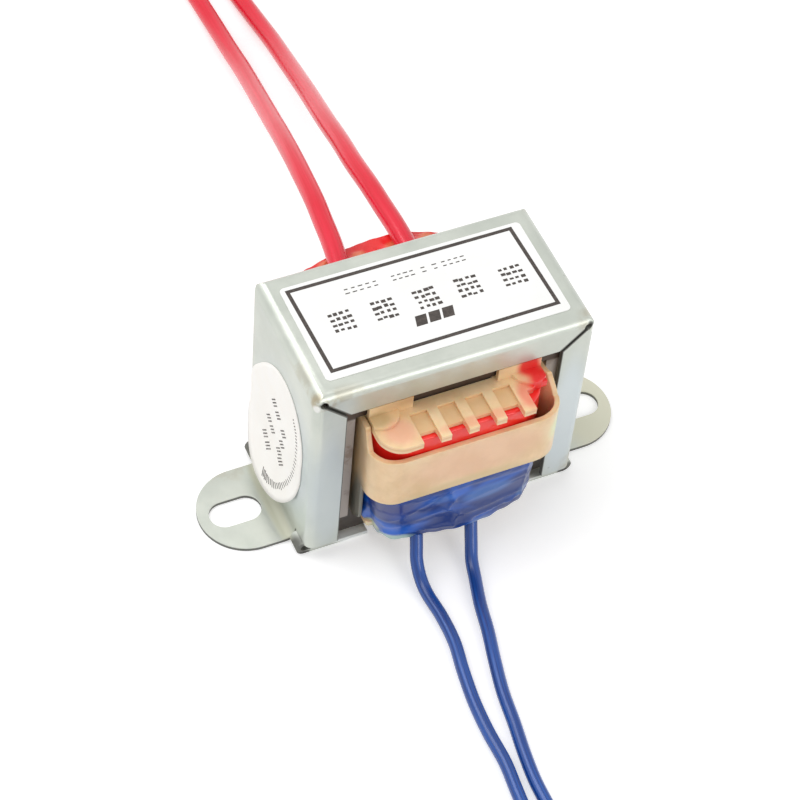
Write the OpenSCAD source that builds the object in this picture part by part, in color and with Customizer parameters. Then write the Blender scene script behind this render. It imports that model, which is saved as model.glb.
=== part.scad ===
// Small mains transformer in a folded channel chassis frame.
// Interleaved E and I laminations, a primary bobbin with a comb flange that
// sits in the cup of the secondary bobbin, taped windings and four free leads.
// X runs along the two feet, the secondary leads leave towards -Y, +Z is up.
// The origin is the middle of the two foot slots, on the mounting plane.

/* [Core] */
// Width of the lamination stack
core_w = 35; // [30:1:42]
// Width of a yoke or an outer leg
yoke_w = 5; // [4.5:0.25:6]
// Width of the centre leg
centre_leg_w = 10; // [8:0.5:12]
// Height of the winding windows
window_h = 19.5; // [18:0.5:24]
// Thickness of one lamination
lam_t = 0.48; // [0.35:0.01:0.49]
// Distance from one lamination to the next
lam_pitch = 0.5; // [0.5:0.005:0.55]
// Number of laminations in one interleaved group
group_plates = 3; // [2:1:4]
// Number of interleaved groups, front to back
core_groups = 12; // [10:2:14]
// Butt gap between an E plate and its I plate
butt_gap = 0.05; // [0.03:0.01:0.1]

/* [Channel frame] */
// Thickness of the frame's sheet steel
sheet_t = 0.6; // [0.5:0.05:0.7]
// Inside radius of the bends from the top to the sides
side_bend_r = 1.2; // [0.8:0.1:1.5]
// Inside radius of the bends from the web to the flanges
flange_bend_r = 0.6; // [0.4:0.05:0.65]
// Width of the flanges in front and behind
flange_w = 4.2; // [3.6:0.1:4.8]
// Height of the flanges' lower ends above the mounting plane
flange_lift = 2.3; // [2.3:0.1:3.5]
// Clearance from the core to the frame's sides
side_gap = 0.1; // [0.1:0.01:0.2]
// Clearance from the core to the frame's flanges
end_gap = 0.31; // [0.3:0.01:0.5]
// Width of the mitre slits in the flange corners
mitre_slit = 0.35; // [0.2:0.05:0.5]
// Radius of the relief holes at the ends of the mitre slits
relief_r = 0.5; // [0.4:0.05:0.6]

/* [Feet and lugs] */
// Reach of a foot past the frame's side
foot_reach = 10.3; // [10:0.1:13]
// Width of a foot
foot_w = 12.4; // [11:0.2:13]
// Distance from the end of a slot to the end of its foot
slot_margin = 1.4; // [1.2:0.1:1.8]
// Length of a foot slot, end to end
slot_l = 6.8; // [5:0.2:7]
// Width of a foot slot
slot_w = 4; // [3:0.1:4.4]
// Inside radius of the bends from the sides to the feet
foot_bend_r = 1.2; // [0.8:0.1:1.4]
// Width of the relief cuts beside the feet
foot_relief = 0.35; // [0.2:0.05:0.5]
// Inside radius of the folds that turn the lugs under the core
lug_fold_r = 0.5; // [0.4:0.05:0.6]
// Reach of the lugs under the core
lug_reach = 8.5; // [6:0.5:10]

/* [Secondary bobbin] */
// Wall thickness of the moulded nylon
nylon_t = 0.7; // [0.6:0.05:0.8]
// Clearance of the bobbin tubes round the centre leg
tube_gap = 0.15; // [0.1:0.05:0.25]
// Clearance from the cup's sides to the outer legs
cup_gap = 0.5; // [0.35:0.05:0.6]
// Depth of the cup, front to back
cup_d = 30; // [29:0.5:33]
// Corner radius of the cup
cup_corner_r = 3.5; // [2.5:0.25:4]
// Height of the secondary winding room
secondary_room_h = 7.4; // [6.5:0.1:8.5]
// Height of the cup's rim above its floor
cup_rim_h = 8; // [7:0.25:8.5]
// Thickness of the skirts beside the secondary winding
skirt_t = 0.5; // [0.4:0.05:0.6]
// Thickness of the bobbins' flanges
flange_t = 0.8; // [0.7:0.05:0.9]

/* [Primary bobbin] */
// Seam between the top flange and the cup's sides
seam_gap = 0.1; // [0.05:0.01:0.15]
// Thickness of the primary bobbin's lower flange
base_t = 0.6; // [0.5:0.05:0.7]
// Thickness of the comb flange at its ribs
comb_t = 1; // [0.9:0.05:1.1]
// Depth of the trays between the ribs
tray_depth = 0.45; // [0.3:0.05:0.5]
// Number of ribs on the front comb
rib_count = 5; // [4:1:5]
// Distance from one rib to the next
rib_pitch = 3.6; // [3.2:0.1:3.8]
// Width of a rib
rib_w = 1.3; // [1:0.1:1.6]
// Depth of the comb's notches
notch_d = 1.7; // [1.2:0.1:2.2]
// Height of the wall that stands in front of the yoke
wall_h = 2; // [1.5:0.1:2.1]
// Width of the notch in that wall
wall_notch_w = 11.1; // [9:0.5:13]
// Radius of the round bosses beside the comb
boss_r = 2.3; // [1.8:0.1:2.6]

/* [Windings and tape] */
// Clearance from the windings to the bobbin walls beside them
winding_gap = 0.2; // [0.15:0.05:0.3]
// Thickness of the wrapped tape
tape_t = 0.25; // [0.2:0.05:0.35]
// Reach of the secondary tape below the lower flange
tape_drop = 0.6; // [0.4:0.1:0.9]
// Height of the taped bundle that the primary leads come out of
lead_bundle_h = 3; // [2.9:0.1:3.2]
// Depth of that bundle, front to back
lead_bundle_d = 1.1; // [0.8:0.1:1.6]

/* [Leads and labels] */
// Diameter of a primary lead
primary_lead_d = 2.6; // [2:0.1:3]
// Diameter of a secondary lead
secondary_lead_d = 1.65; // [1.3:0.05:2]
// Length of the bare tinned ends
tinned_l = 5; // [3:0.5:8]
// Length of the rating label
label_l = 31.6; // [24:0.2:32]
// Width of the rating label
label_w = 15; // [10:0.5:16]
// Radius of the round label
round_label_r = 9.8; // [7:0.2:10]
// Thickness of the labels
label_t = 0.1; // [0.08:0.01:0.2]

/* [Hidden] */
$fn = 64;

cut = 0.1;                  // overrun of a cutting shape past a face
seat = 0.03;                // fitting gap of pieces that rest on each other

// Core
plates = core_groups * group_plates;
stack_d = (plates - 1) * lam_pitch + lam_t;
core_y = stack_d / 2;
core_z = sheet_t;                                   // the core stands on the lugs
window_z0 = core_z + yoke_w;
window_z1 = window_z0 + window_h;
core_top = window_z1 + yoke_w;
window_x = core_w / 2 - yoke_w;                     // inner face of an outer leg
missing_i = group_plates;                           // I plates the front group lacks

// Frame: its sharp-edged core lifts it until the edges touch the side bends
side_ro = side_bend_r + sheet_t;
flange_ro = flange_bend_r + sheet_t;
edge_lift = side_bend_r - sqrt(pow(side_bend_r, 2) - pow(side_bend_r - side_gap, 2));
frame_w = core_w + 2 * (side_gap + sheet_t);
frame_d = stack_d + 2 * (end_gap + sheet_t);
frame_h = core_top + edge_lift + seat + sheet_t;
frame_x = frame_w / 2;
frame_y = frame_d / 2;
foot_ro = foot_bend_r + sheet_t;
foot_end_r = foot_w / 2;
foot_end_x = frame_x + foot_reach;
slot_x = foot_end_x - slot_margin - slot_l / 2;     // middle of a slot
foot_bend_x = frame_x + foot_bend_r;                // axis of the foot bend
lug_y0 = foot_w / 2 + foot_relief;
lug_y1 = frame_y - flange_ro;
lug_ro = lug_fold_r + sheet_t;
lug_x = frame_x - sheet_t / 2;                      // axis of the lug fold

// Secondary bobbin
tube_x = centre_leg_w / 2 + tube_gap;
tube_y = core_y + tube_gap;
cup_x = window_x - cup_gap;
cup_y = cup_d / 2;
lower_flange_z = window_z0;
lower_flange_top = lower_flange_z + flange_t;
cup_floor = lower_flange_top + secondary_room_h;
cup_floor_top = cup_floor + flange_t;
cup_rim = cup_floor + cup_rim_h;
shoulder_setback = 3;                               // of the raised sides from the cup's ends
shoulder_y = cup_y - shoulder_setback;
shoulder_run = 1.2;
side_top = window_z1 - seat * 3;
skirt_reach = 1;                                    // of the skirts past the core
skirt_chamfer = 1.5;
skirt_lift = 0.4;

// Primary bobbin
comb_x = cup_x - nylon_t - seam_gap;
comb_overhang = 0.3;                                // of the comb past the cup
comb_y = cup_y + comb_overhang;
comb_top = window_z1;
comb_z = comb_top - comb_t;
tray_z = comb_top - tray_depth;
comb_corner_r = 3;
cross_rib_setback = 1.8;                            // of the trays' back edge from the core
cross_rib_y = core_y + cross_rib_setback;
comb_shift = 0.1;                                   // of the middle rib from the centre
bay_margin = 0.9;                                   // from the last rib to the bay
bay_x = comb_shift + (rib_count - 1) / 2 * rib_pitch + rib_w / 2 + bay_margin;
bay_depth = 3.4;
bay_y = comb_y - bay_depth;
bay_r = 1.2;
wall_gap = 0.3;                                     // from the core to the wall
wall_y0 = core_y + wall_gap;
wall_t = 0.6;
boss_inset = 1.5;                                   // of the bosses from the comb's sides
boss_x = comb_x - boss_inset;
boss_setback = 0.7;                                 // of the bosses from the core
boss_y = core_y + boss_setback;
boss_h = 0.5;
tongue_w = 2.4;
tongue_pitch = 4.5;
tongue_l = 2.2;
tongue_setback = 0.4;                               // of the tongues from the cup's end
back_y = cup_y - tongue_setback - tongue_l;

// Windings
secondary_x = cup_x - skirt_t - winding_gap - tape_t;
secondary_y = cup_y - tape_t;
secondary_r = 3.6;
lower_flange_x = secondary_x - seat;
lower_flange_y = secondary_y - seat;
winding_top = cup_floor - seat;
primary_x = comb_x - winding_gap - tape_t;
primary_y = cup_y - nylon_t - winding_gap - tape_t;
primary_r = 2.8;
primary_z0 = cup_floor_top + base_t;
tape_wrap = 1.6;                                    // of the tape under the lower flange
winding_inset = seat;

// Tape over the comb behind, and the bundle that the primary leads come out of
lead_tape_gap = 0.4;
lead_tape_y0 = frame_y + lead_tape_gap;
lead_tape_reach = 0.6;                              // past the cup
lead_tape_taper = 2;
lead_tape_y1 = cup_y + lead_tape_reach;
lead_tape_x = 9.4;
lead_tape_crown_x = 6.2;
lead_tape_z = comb_top;
lead_bundle_x = 8;
lead_exit_y = lead_tape_y0 + lead_bundle_d;
lead_exit_z = lead_tape_z + lead_bundle_h / 2 + 0.15;

// Routes of the leads, points chosen by hand past the exit
red_route_1 = [
    [-5.9, lead_exit_y, lead_exit_z], [-5.5, lead_exit_y + 2, lead_exit_z], [-5.0, 16.4, 26.6],
    [-4.5, 20.2, 26.2], [-3.9, 24.4, 25.6], [-3.1, 30, 24.1], [-2.1, 36, 21.9],
    [-0.9, 42.5, 18.9], [0.3, 48.6, 15.7], [1.6, 55, 12.3], [2.9, 61.5, 8.9], [4.0, 68, 5.9],
    [4.7, 74.4, 3.5], [5.1, 80.5, 2.0], [5.1, 86, 1.4], [4.9, 91, 1.3], [4.7, 96, 1.3], [4.5, 100.6, 1.3]
];
red_route_2 = [
    [3.4, lead_exit_y, lead_exit_z], [3.45, lead_exit_y + 2, lead_exit_z], [3.5, 16.4, 26.6],
    [3.5, 20.2, 26.2], [3.6, 24.4, 25.6], [3.9, 30, 24.1], [4.7, 36, 21.9],
    [5.7, 42.5, 18.9], [6.9, 48.6, 15.7], [8.2, 55, 12.3], [9.4, 61.5, 8.9], [10.4, 68, 5.9],
    [11.1, 74.4, 3.5], [11.2, 80.5, 2.0], [10.9, 86, 1.4], [10.5, 91, 1.3], [10.1, 96, 1.3],
    [9.8, 100.6, 1.3]
];
blue_route_1 = [
    [-5.4, -14.1, 5.0], [-5.8, -15.2, 3.9], [-6.2, -16.4, 2.7], [-6.4, -18.1, 1.5], [-6.4, -20.3, 0.9],
    [-6.1, -24, 0.85], [-6.2, -28, 0.85], [-6.9, -32, 0.85], [-7.5, -36.5, 0.85], [-7.7, -41, 0.85],
    [-7.6, -45.5, 0.85], [-8.0, -50, 0.85], [-8.3, -55, 0.85], [-7.3, -60, 0.85], [-4.9, -64.5, 0.85],
    [-1.5, -68.2, 0.85], [2.7, -71, 0.85], [7.2, -73.3, 0.85], [11.9, -75.6, 0.85],
    [16.6, -77.9, 0.85], [21.3, -80.2, 0.85], [26.0, -82.5, 0.85], [31.5, -85.2, 0.85]
];
blue_route_2 = [
    [2.0, -14.1, 5.0], [1.6, -15.2, 3.9], [1.2, -16.4, 2.7], [0.6, -18.1, 1.5], [0.1, -20.3, 0.9],
    [-0.9, -24, 0.85], [-1.7, -28, 0.85], [-2.7, -32, 0.85], [-3.7, -36.5, 0.85], [-4.3, -41, 0.85],
    [-5.0, -45.5, 0.85], [-5.4, -50, 0.85], [-5.1, -55, 0.85], [-3.4, -59.6, 0.85], [-0.2, -63.4, 0.85],
    [4.0, -66.2, 0.85], [8.6, -68.5, 0.85], [13.4, -70.7, 0.85], [18.2, -72.9, 0.85],
    [23.0, -75.1, 0.85], [27.8, -77.3, 0.85], [32.6, -79.5, 0.85], [37.4, -81.7, 0.85]
];
lead_sides = 8;
primary_wire_d = 1.1;                               // bare tinned strands
secondary_wire_d = 0.9;

// Labels
label_corner_r = 0.6;
round_label_y = 2.9;
round_label_z = 14.6;

// Rectangle with round corners, centred
module rounded(x, y, r) {
    square([2 * x, 2 * (y - r)], center = true);
    square([2 * (x - r), 2 * y], center = true);
    for (sx = [-1, 1], sy = [-1, 1])
        translate([sx * (x - r), sy * (y - r)])
            circle(r);
}

// Upright plate with a rounded outline, from z0 to z1
module slab(x, y, r, z0, z1) {
    translate([0, 0, z0])
        linear_extrude(z1 - z0)
            rounded(x, y, r);
}

// Box between two opposite corners
module block(low, high) {
    translate(low)
        cube(high - low);
}

// Profile in the X-Z plane, extruded over a depth centred on y = 0
module along_y(depth) {
    rotate([90, 0, 0])
        linear_extrude(depth, center = true)
            children();
}

// Profile in the Y-Z plane, extruded over a width centred on x = 0
module along_x(width) {
    rotate([90, 0, 90])
        linear_extrude(width, center = true)
            children();
}

// ---- Channel frame ----

// Solid loaf with the frame's bends, inset by the sheet or by nothing
module loaf(inset) {
    x = frame_x - inset;
    y = frame_y - inset;
    z = frame_h - inset;
    intersection() {
        along_y(2 * y + cut)
            arch(x, z, side_ro - inset);
        along_x(2 * x + cut)
            arch(y, z, flange_ro - inset);
        slab(x, y, flange_ro - inset, -cut, z + cut);
    }
}

// Arch outline: straight below, two round corners on top
module arch(half, top, r) {
    translate([-half, 0])
        square([2 * half, top - r]);
    translate([r - half, 0])
        square([2 * (half - r), top]);
    for (s = [-1, 1])
        translate([s * (half - r), top - r])
            circle(r);
}

// Opening between the flanges, through the front and the back
module flange_window() {
    block([flange_w - frame_x, -frame_d, -cut], [frame_x - flange_w, frame_d, frame_h - flange_w]);
}

// Mitre slits that run out to a relief hole in each flange corner
module mitre_cuts() {
    for (side = [0, 1])
        mirror([side, 0, 0])
            along_y(2 * frame_d) {
                translate([frame_x - flange_w, frame_h - flange_w])
                    rotate(45)
                        translate([-mitre_slit, -mitre_slit / 2])
                            square([(flange_w - flange_ro) * sqrt(2) + mitre_slit, mitre_slit]);
                translate([frame_x - flange_ro, frame_h - flange_ro])
                    circle(relief_r);
            }
}

// Keeps the relief cuts to the flanges and their bends
module flange_zone() {
    for (s = [-1, 1])
        translate([-frame_w, s * frame_y - flange_ro, 0])
            cube([2 * frame_w, 2 * flange_ro, frame_h + cut]);
}

// Side bend, foot and slot on the +X side
module foot() {
    translate([foot_bend_x, 0, foot_ro])
        along_y(foot_w)
            intersection() {
                difference() {
                    circle(foot_ro);
                    circle(foot_bend_r);
                }
                translate([-foot_ro, -foot_ro])
                    square(foot_ro);
            }
    linear_extrude(sheet_t)
        difference() {
            union() {
                translate([foot_bend_x, -foot_end_r])
                    square([foot_end_x - foot_end_r - foot_bend_x, foot_w]);
                translate([foot_end_x - foot_end_r, 0])
                    circle(foot_end_r);
            }
            for (s = [-1, 1])
                translate([slot_x + s * (slot_l - slot_w) / 2, 0])
                    circle(slot_w / 2);
            translate([slot_x, 0])
                square([slot_l - slot_w, slot_w], center = true);
        }
}

// Lug that folds round below the flange and runs in under the core
module lug() {
    translate([0, (lug_y0 + lug_y1) / 2, 0])
        along_y(lug_y1 - lug_y0) {
            translate([lug_x, lug_ro])
                intersection() {
                    difference() {
                        circle(lug_ro);
                        circle(lug_fold_r);
                    }
                    translate([0, -lug_ro])
                        square([lug_ro, 2 * lug_ro]);
                }
            translate([lug_x - lug_reach, 0])
                square([lug_reach, sheet_t]);
            translate([frame_x - sheet_t, lug_ro + lug_fold_r])
                square([sheet_t, flange_lift + sheet_t]);
        }
}

module channel_frame() {
    color([0.80, 0.82, 0.81]) {
        difference() {
            loaf(0);
            loaf(sheet_t);
            flange_window();
            intersection() {
                mitre_cuts();
                flange_zone();
            }
            block([-frame_w, -frame_d, -cut - frame_h], [frame_w, frame_d, flange_lift]);
        }
        for (side = [0, 1])
            mirror([side, 0, 0]) {
                block([frame_x - sheet_t, -foot_w / 2, foot_ro],
                    [frame_x, foot_w / 2, flange_lift + sheet_t]);
                foot();
                for (end = [0, 1])
                    mirror([0, end, 0])
                        lug();
            }
    }
}

// ---- Laminations ----

// E outline with its yoke at the bottom
module e_outline() {
    difference() {
        translate([-core_w / 2, 0])
            square([core_w, yoke_w + window_h]);
        for (s = [-1, 1])
            translate([s * (window_x + centre_leg_w / 2) / 2, yoke_w + window_h / 2 + cut / 2])
                square([window_x - centre_leg_w / 2, window_h + cut], center = true);
    }
}

// True where the group of plate i has its I plate at the bottom
function i_below(i) = floor(i / group_plates) % 2 == 0;

// Places one plate of the stack, counted from the front
module plate(i) {
    translate([0, -core_y + lam_t / 2 + i * lam_pitch, 0])
        along_y(lam_t)
            children();
}

module e_laminations() {
    color([0.62, 0.58, 0.56])
        for (i = [0 : plates - 1])
            plate(i)
                if (i_below(i))
                    translate([0, core_top])
                        mirror([0, 1])
                            e_outline();
                else
                    translate([0, core_z])
                        e_outline();
}

module i_laminations() {
    color([0.62, 0.58, 0.56])
        for (i = [missing_i : plates - 1])
            plate(i)
                translate([-core_w / 2, i_below(i) ? core_z : window_z1 + butt_gap])
                    square([core_w, yoke_w - butt_gap]);
}

// ---- Bobbins ----

// Clear shaft for the centre leg
module leg_shaft(z0, z1) {
    block([-tube_x, -tube_y, z0 - cut], [tube_x, tube_y, z1 + cut]);
}

// Tube round the centre leg
module leg_tube(z0, z1) {
    difference() {
        block([-tube_x - nylon_t, -tube_y - nylon_t, z0], [tube_x + nylon_t, tube_y + nylon_t, z1]);
        leg_shaft(z0, z1);
    }
}

// Side view of the cup: low rim at the ends, high sides between them
module cup_side_view() {
    polygon([
        [-cup_y - cut, cup_floor], [cup_y + cut, cup_floor], [cup_y + cut, cup_rim],
        [shoulder_y, cup_rim], [shoulder_y - shoulder_run, side_top],
        [shoulder_run - shoulder_y, side_top], [-shoulder_y, cup_rim], [-cup_y - cut, cup_rim]
    ]);
}

// Skirt outline, with its lower corners cut off
module skirt_view() {
    y = core_y + end_gap + sheet_t + skirt_reach;
    z = window_z0 + skirt_lift;
    polygon([
        [skirt_chamfer - y, z], [y - skirt_chamfer, z], [y, z + skirt_chamfer],
        [y, cup_floor + seat], [-y, cup_floor + seat], [-y, z + skirt_chamfer]
    ]);
}

module secondary_bobbin() {
    color([0.90, 0.79, 0.64]) {
        difference() {
            intersection() {
                slab(cup_x, cup_y, cup_corner_r, cup_floor, side_top);
                along_x(2 * cup_x + cut)
                    cup_side_view();
            }
            slab(cup_x - nylon_t, cup_y - nylon_t, cup_corner_r - nylon_t, cup_floor_top, side_top + cut);
            leg_shaft(cup_floor, cup_floor_top);
        }
        for (s = [-1, 1])
            translate([s * (cup_x - skirt_t / 2), 0, 0])
                along_x(skirt_t)
                    skirt_view();
        leg_tube(lower_flange_z, cup_floor_top);
        difference() {
            slab(lower_flange_x, lower_flange_y, secondary_r - seat, lower_flange_z, lower_flange_top);
            leg_shaft(lower_flange_z, lower_flange_top);
        }
    }
}

// Comb flange seen from above: round left corner, open bay on the right
module comb_outline() {
    difference() {
        union() {
            translate([-comb_x, -comb_y + comb_corner_r])
                square([2 * comb_x, comb_y - comb_corner_r + back_y]);
            translate([comb_corner_r - comb_x, -comb_y])
                square([2 * (comb_x - comb_corner_r), 2 * comb_corner_r]);
            translate([comb_corner_r - comb_x, comb_corner_r - comb_y])
                circle(comb_corner_r);
            for (s = [-1, 1], k = [0.5, 1.5])
                translate([s * k * tongue_pitch, back_y + tongue_l / 2 - cut])
                    square([tongue_w, tongue_l], center = true);
        }
        for (i = [0 : rib_count - 2])
            translate([tray_middle(i), -comb_y])
                notch();
        bay();
    }
}

// Middle of the tray to the right of rib i
function tray_middle(i) = comb_shift + (i + 0.5 - (rib_count - 1) / 2) * rib_pitch;

// Notch at the mouth of a tray, with a round root
module notch() {
    r = (rib_pitch - rib_w) / 2;
    translate([-r, -cut])
        square([2 * r, notch_d - r / 2 + cut]);
    translate([0, notch_d - r / 2])
        intersection() {
            circle(r);
            translate([-r, -r])
                square([2 * r, 1.5 * r]);
        }
}

// Bay that leaves the tape open beside the last rib, with a round inner corner
module bay() {
    translate([bay_x, -comb_y - cut])
        square([comb_x - bay_x + cut, comb_y - bay_y - bay_r + cut]);
    translate([bay_x + bay_r, -comb_y - cut])
        square([comb_x - bay_x - bay_r + cut, comb_y - bay_y + cut]);
    translate([bay_x + bay_r, -bay_y - bay_r])
        circle(bay_r);
}

// Tray between ribs i and i + 1
module tray(i) {
    w = rib_pitch - rib_w;
    translate([tray_middle(i) - w / 2, -comb_y - cut])
        square([w, comb_y - cross_rib_y + cut]);
}

// Wall in front of the yoke, in two parts beside the notch
module yoke_wall() {
    difference() {
        block([-comb_x, -wall_y0 - wall_t, comb_z], [comb_x, -wall_y0, comb_top + wall_h]);
        block([-wall_notch_w / 2, -wall_y0 - wall_t - cut, comb_top],
              [wall_notch_w / 2, -wall_y0 + cut, comb_top + wall_h + cut]);
    }
}

// Bosses beside the comb, cut off at the core
module bosses() {
    intersection() {
        for (s = [-1, 1])
            translate([s * boss_x, -boss_y, comb_z])
                cylinder(h = comb_t + boss_h, r = boss_r);
        block([-comb_x, -comb_y, comb_z], [comb_x, -wall_y0, comb_top + boss_h]);
    }
}

module primary_bobbin() {
    color([0.92, 0.80, 0.66]) {
        difference() {
            translate([0, 0, comb_z])
                linear_extrude(comb_t)
                    comb_outline();
            translate([0, 0, tray_z])
                linear_extrude(tray_depth + cut)
                    for (i = [0 : rib_count - 2])
                        tray(i);
            leg_shaft(comb_z, comb_top);
        }
        yoke_wall();
        bosses();
        leg_tube(cup_floor_top, comb_top);
        difference() {
            slab(primary_x, primary_y, primary_r, cup_floor_top, primary_z0);
            leg_shaft(cup_floor_top, primary_z0);
        }
    }
}

// ---- Windings and tape ----

// Coil with a rounded outline round a bobbin tube
module coil(x, y, r, z0, z1) {
    hole_x = tube_x + nylon_t + seat;
    hole_y = tube_y + nylon_t + seat;
    difference() {
        slab(x, y, r, z0, z1);
        block([-hole_x, -hole_y, z0 - cut], [hole_x, hole_y, z1 + cut]);
    }
}

// Sleeve of wrapped tape round a coil
module sleeve(x, y, r, z0, z1) {
    difference() {
        slab(x + tape_t, y + tape_t, r + tape_t, z0, z1);
        slab(x, y, r, z0 - cut, z1 + cut);
    }
}

module secondary_winding() {
    color([0.72, 0.40, 0.24])
        coil(secondary_x - winding_inset, secondary_y - winding_inset, secondary_r - winding_inset,
             lower_flange_top + seat, winding_top);
}

module primary_winding() {
    color([0.72, 0.40, 0.24])
        coil(primary_x - winding_inset, primary_y - winding_inset, primary_r - winding_inset,
             primary_z0 + seat, comb_z - seat);
}

module secondary_tape() {
    color([0.12, 0.30, 0.62]) {
        sleeve(secondary_x, secondary_y, secondary_r, lower_flange_top, winding_top);
        intersection() {
            union() {
                sleeve(secondary_x, secondary_y, secondary_r, lower_flange_z - tape_drop, lower_flange_top);
                difference() {
                    slab(secondary_x, secondary_y, secondary_r,
                         lower_flange_z - tape_drop, lower_flange_z - seat);
                    slab(secondary_x - tape_wrap, secondary_y - tape_wrap, secondary_r - tape_wrap,
                         -cut, lower_flange_z + cut);
                }
            }
            for (end = [0, 1])
                mirror([0, end, 0])
                    block([-cup_x, frame_y + end_gap, 0], [cup_x, cup_y, lower_flange_top]);
        }
    }
}

module primary_tape() {
    color([0.90, 0.13, 0.13])
        sleeve(primary_x, primary_y, primary_r, primary_z0 + seat, comb_z - seat);
}

// Tape laid over the comb behind, and folded up into the bundle with the leads' joints
module lead_tape() {
    color([0.90, 0.13, 0.13]) {
        translate([0, 0, lead_tape_z])
            linear_extrude(tape_t)
                polygon([
                    [-lead_tape_x, lead_tape_y0], [lead_tape_x, lead_tape_y0],
                    [lead_tape_x, cup_y - lead_tape_taper], [lead_tape_crown_x, lead_tape_y1],
                    [-lead_tape_crown_x, lead_tape_y1], [-lead_tape_x, cup_y - lead_tape_taper]
                ]);
        block([-lead_bundle_x, lead_tape_y0, lead_tape_z],
              [lead_bundle_x, lead_exit_y, lead_tape_z + lead_bundle_h]);
    }
}

// ---- Leads ----

function unit(v) = v / norm(v);

// Direction of a route at its point i
function heading(route, i) =
    unit(route[min(i + 1, len(route) - 1)] - route[max(i - 1, 0)]);

// Ring of points round point i, square to the route; e is upright where it can be
function ring(route, i, r) =
    let (d = heading(route, i), side = unit(cross(d, [0, 0, 1])), up = cross(side, d))
    [for (k = [0 : lead_sides - 1])
        let (a = (k + 0.5) * 360 / lead_sides)
        route[i] + r * (cos(a) * side + sin(a) * up)];

// Tube of lead_sides sides along a route
module tube(route, d) {
    r = d / 2;
    n = len(route);
    m = lead_sides;
    points = [for (i = [0 : n - 1]) each ring(route, i, r)];
    walls = [for (i = [0 : n - 2], k = [0 : m - 1])
        [i * m + k, i * m + (k + 1) % m, (i + 1) * m + (k + 1) % m, (i + 1) * m + k]];
    first = [for (k = [m - 1 : -1 : 0]) k];
    last = [for (k = [0 : m - 1]) (n - 1) * m + k];
    polyhedron(points, concat([first, last], walls), convexity = 4);
}

// Bare end that runs on straight from the end of a route
module tinned_end(route, wire_d) {
    n = len(route);
    d = heading(route, n - 1);
    translate(route[n - 1])
        rotate([0, 90, atan2(d.y, d.x)])
            cylinder(h = tinned_l, d = wire_d);
}

module red_lead(route) {
    color([0.93, 0.16, 0.26])
        tube(route, primary_lead_d);
}

module blue_lead(route) {
    color([0.12, 0.30, 0.66])
        tube(route, secondary_lead_d);
}

module tinned(route, wire_d) {
    color([0.78, 0.78, 0.76])
        tinned_end(route, wire_d);
}

// ---- Labels ----

module rating_label() {
    color([0.97, 0.97, 0.96])
        slab(label_l / 2, label_w / 2, label_corner_r, frame_h, frame_h + label_t);
}

// Round label on the -X side, wrapped round the edge behind it
module round_label() {
    color([0.96, 0.94, 0.90])
        difference() {
            intersection() {
                slab(frame_x + label_t, frame_y + label_t, flange_ro + label_t,
                     foot_ro, frame_h - side_ro);
                translate([-frame_x - label_t, round_label_y, round_label_z])
                    rotate([0, 90, 0])
                        cylinder(h = flange_ro + 2 * label_t, r = round_label_r);
            }
            slab(frame_x, frame_y, flange_ro, -cut, frame_h);
        }
}

channel_frame();
e_laminations();
i_laminations();
secondary_bobbin();
primary_bobbin();
secondary_winding();
primary_winding();
secondary_tape();
primary_tape();
lead_tape();
red_lead(red_route_1);  // lead_red_1
red_lead(red_route_2);  // lead_red_2
blue_lead(blue_route_1);  // lead_blue_1
blue_lead(blue_route_2);  // lead_blue_2
tinned(red_route_1, primary_wire_d);  // tinned_red_1
tinned(red_route_2, primary_wire_d);  // tinned_red_2
tinned(blue_route_1, secondary_wire_d);  // tinned_blue_1
tinned(blue_route_2, secondary_wire_d);  // tinned_blue_2
rating_label();
round_label();
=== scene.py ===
import math

import bmesh
import bpy
import numpy as np
from mathutils import Matrix


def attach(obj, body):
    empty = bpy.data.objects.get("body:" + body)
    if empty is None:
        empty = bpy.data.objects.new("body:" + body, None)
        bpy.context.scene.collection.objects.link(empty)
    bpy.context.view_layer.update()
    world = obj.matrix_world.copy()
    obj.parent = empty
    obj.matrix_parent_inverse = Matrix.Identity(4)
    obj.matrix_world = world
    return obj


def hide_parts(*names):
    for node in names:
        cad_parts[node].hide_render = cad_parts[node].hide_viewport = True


# Looks of a small mains transformer in a folded channel frame.
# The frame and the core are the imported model's own nodes. The bobbins, the coils and the upper label are
# copies of theirs, slightly reshaped. The leads, the tapes and the round label are surfaces made here.
# Values are in millimetres and become metres in a mesh. A noise's scale is in cells per metre.

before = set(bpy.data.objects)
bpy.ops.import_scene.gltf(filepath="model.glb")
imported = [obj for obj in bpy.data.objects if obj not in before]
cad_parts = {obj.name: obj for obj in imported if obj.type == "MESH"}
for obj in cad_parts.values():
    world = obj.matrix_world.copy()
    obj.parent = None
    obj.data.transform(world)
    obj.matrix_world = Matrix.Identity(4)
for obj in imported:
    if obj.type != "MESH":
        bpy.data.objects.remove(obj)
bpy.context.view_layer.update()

MM = 0.001


def add_object(name, data):
    """New object in the scene."""
    made = bpy.data.objects.new(name, data)
    bpy.context.scene.collection.objects.link(made)
    return made


def set_up(thing, right, up, back, at):
    """Puts a camera or a lamp at a place in millimetres, with its three axes; it looks against back."""
    matrix = np.eye(4)
    matrix[:3, :4] = np.column_stack((right, up, back, np.array(at) * MM))
    thing.matrix_world = Matrix(matrix.tolist())


# ---- Camera ----

CAMERA_TARGET = (11.362, 24.723, -21.649)
CAMERA_AZIMUTH, CAMERA_ELEVATION, CAMERA_ROLL = -118.39, 51.159, 5.971
CAMERA_DISTANCE = 369.1
CAMERA_LENS = 117.74  # on a sensor 36 mm wide


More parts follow.
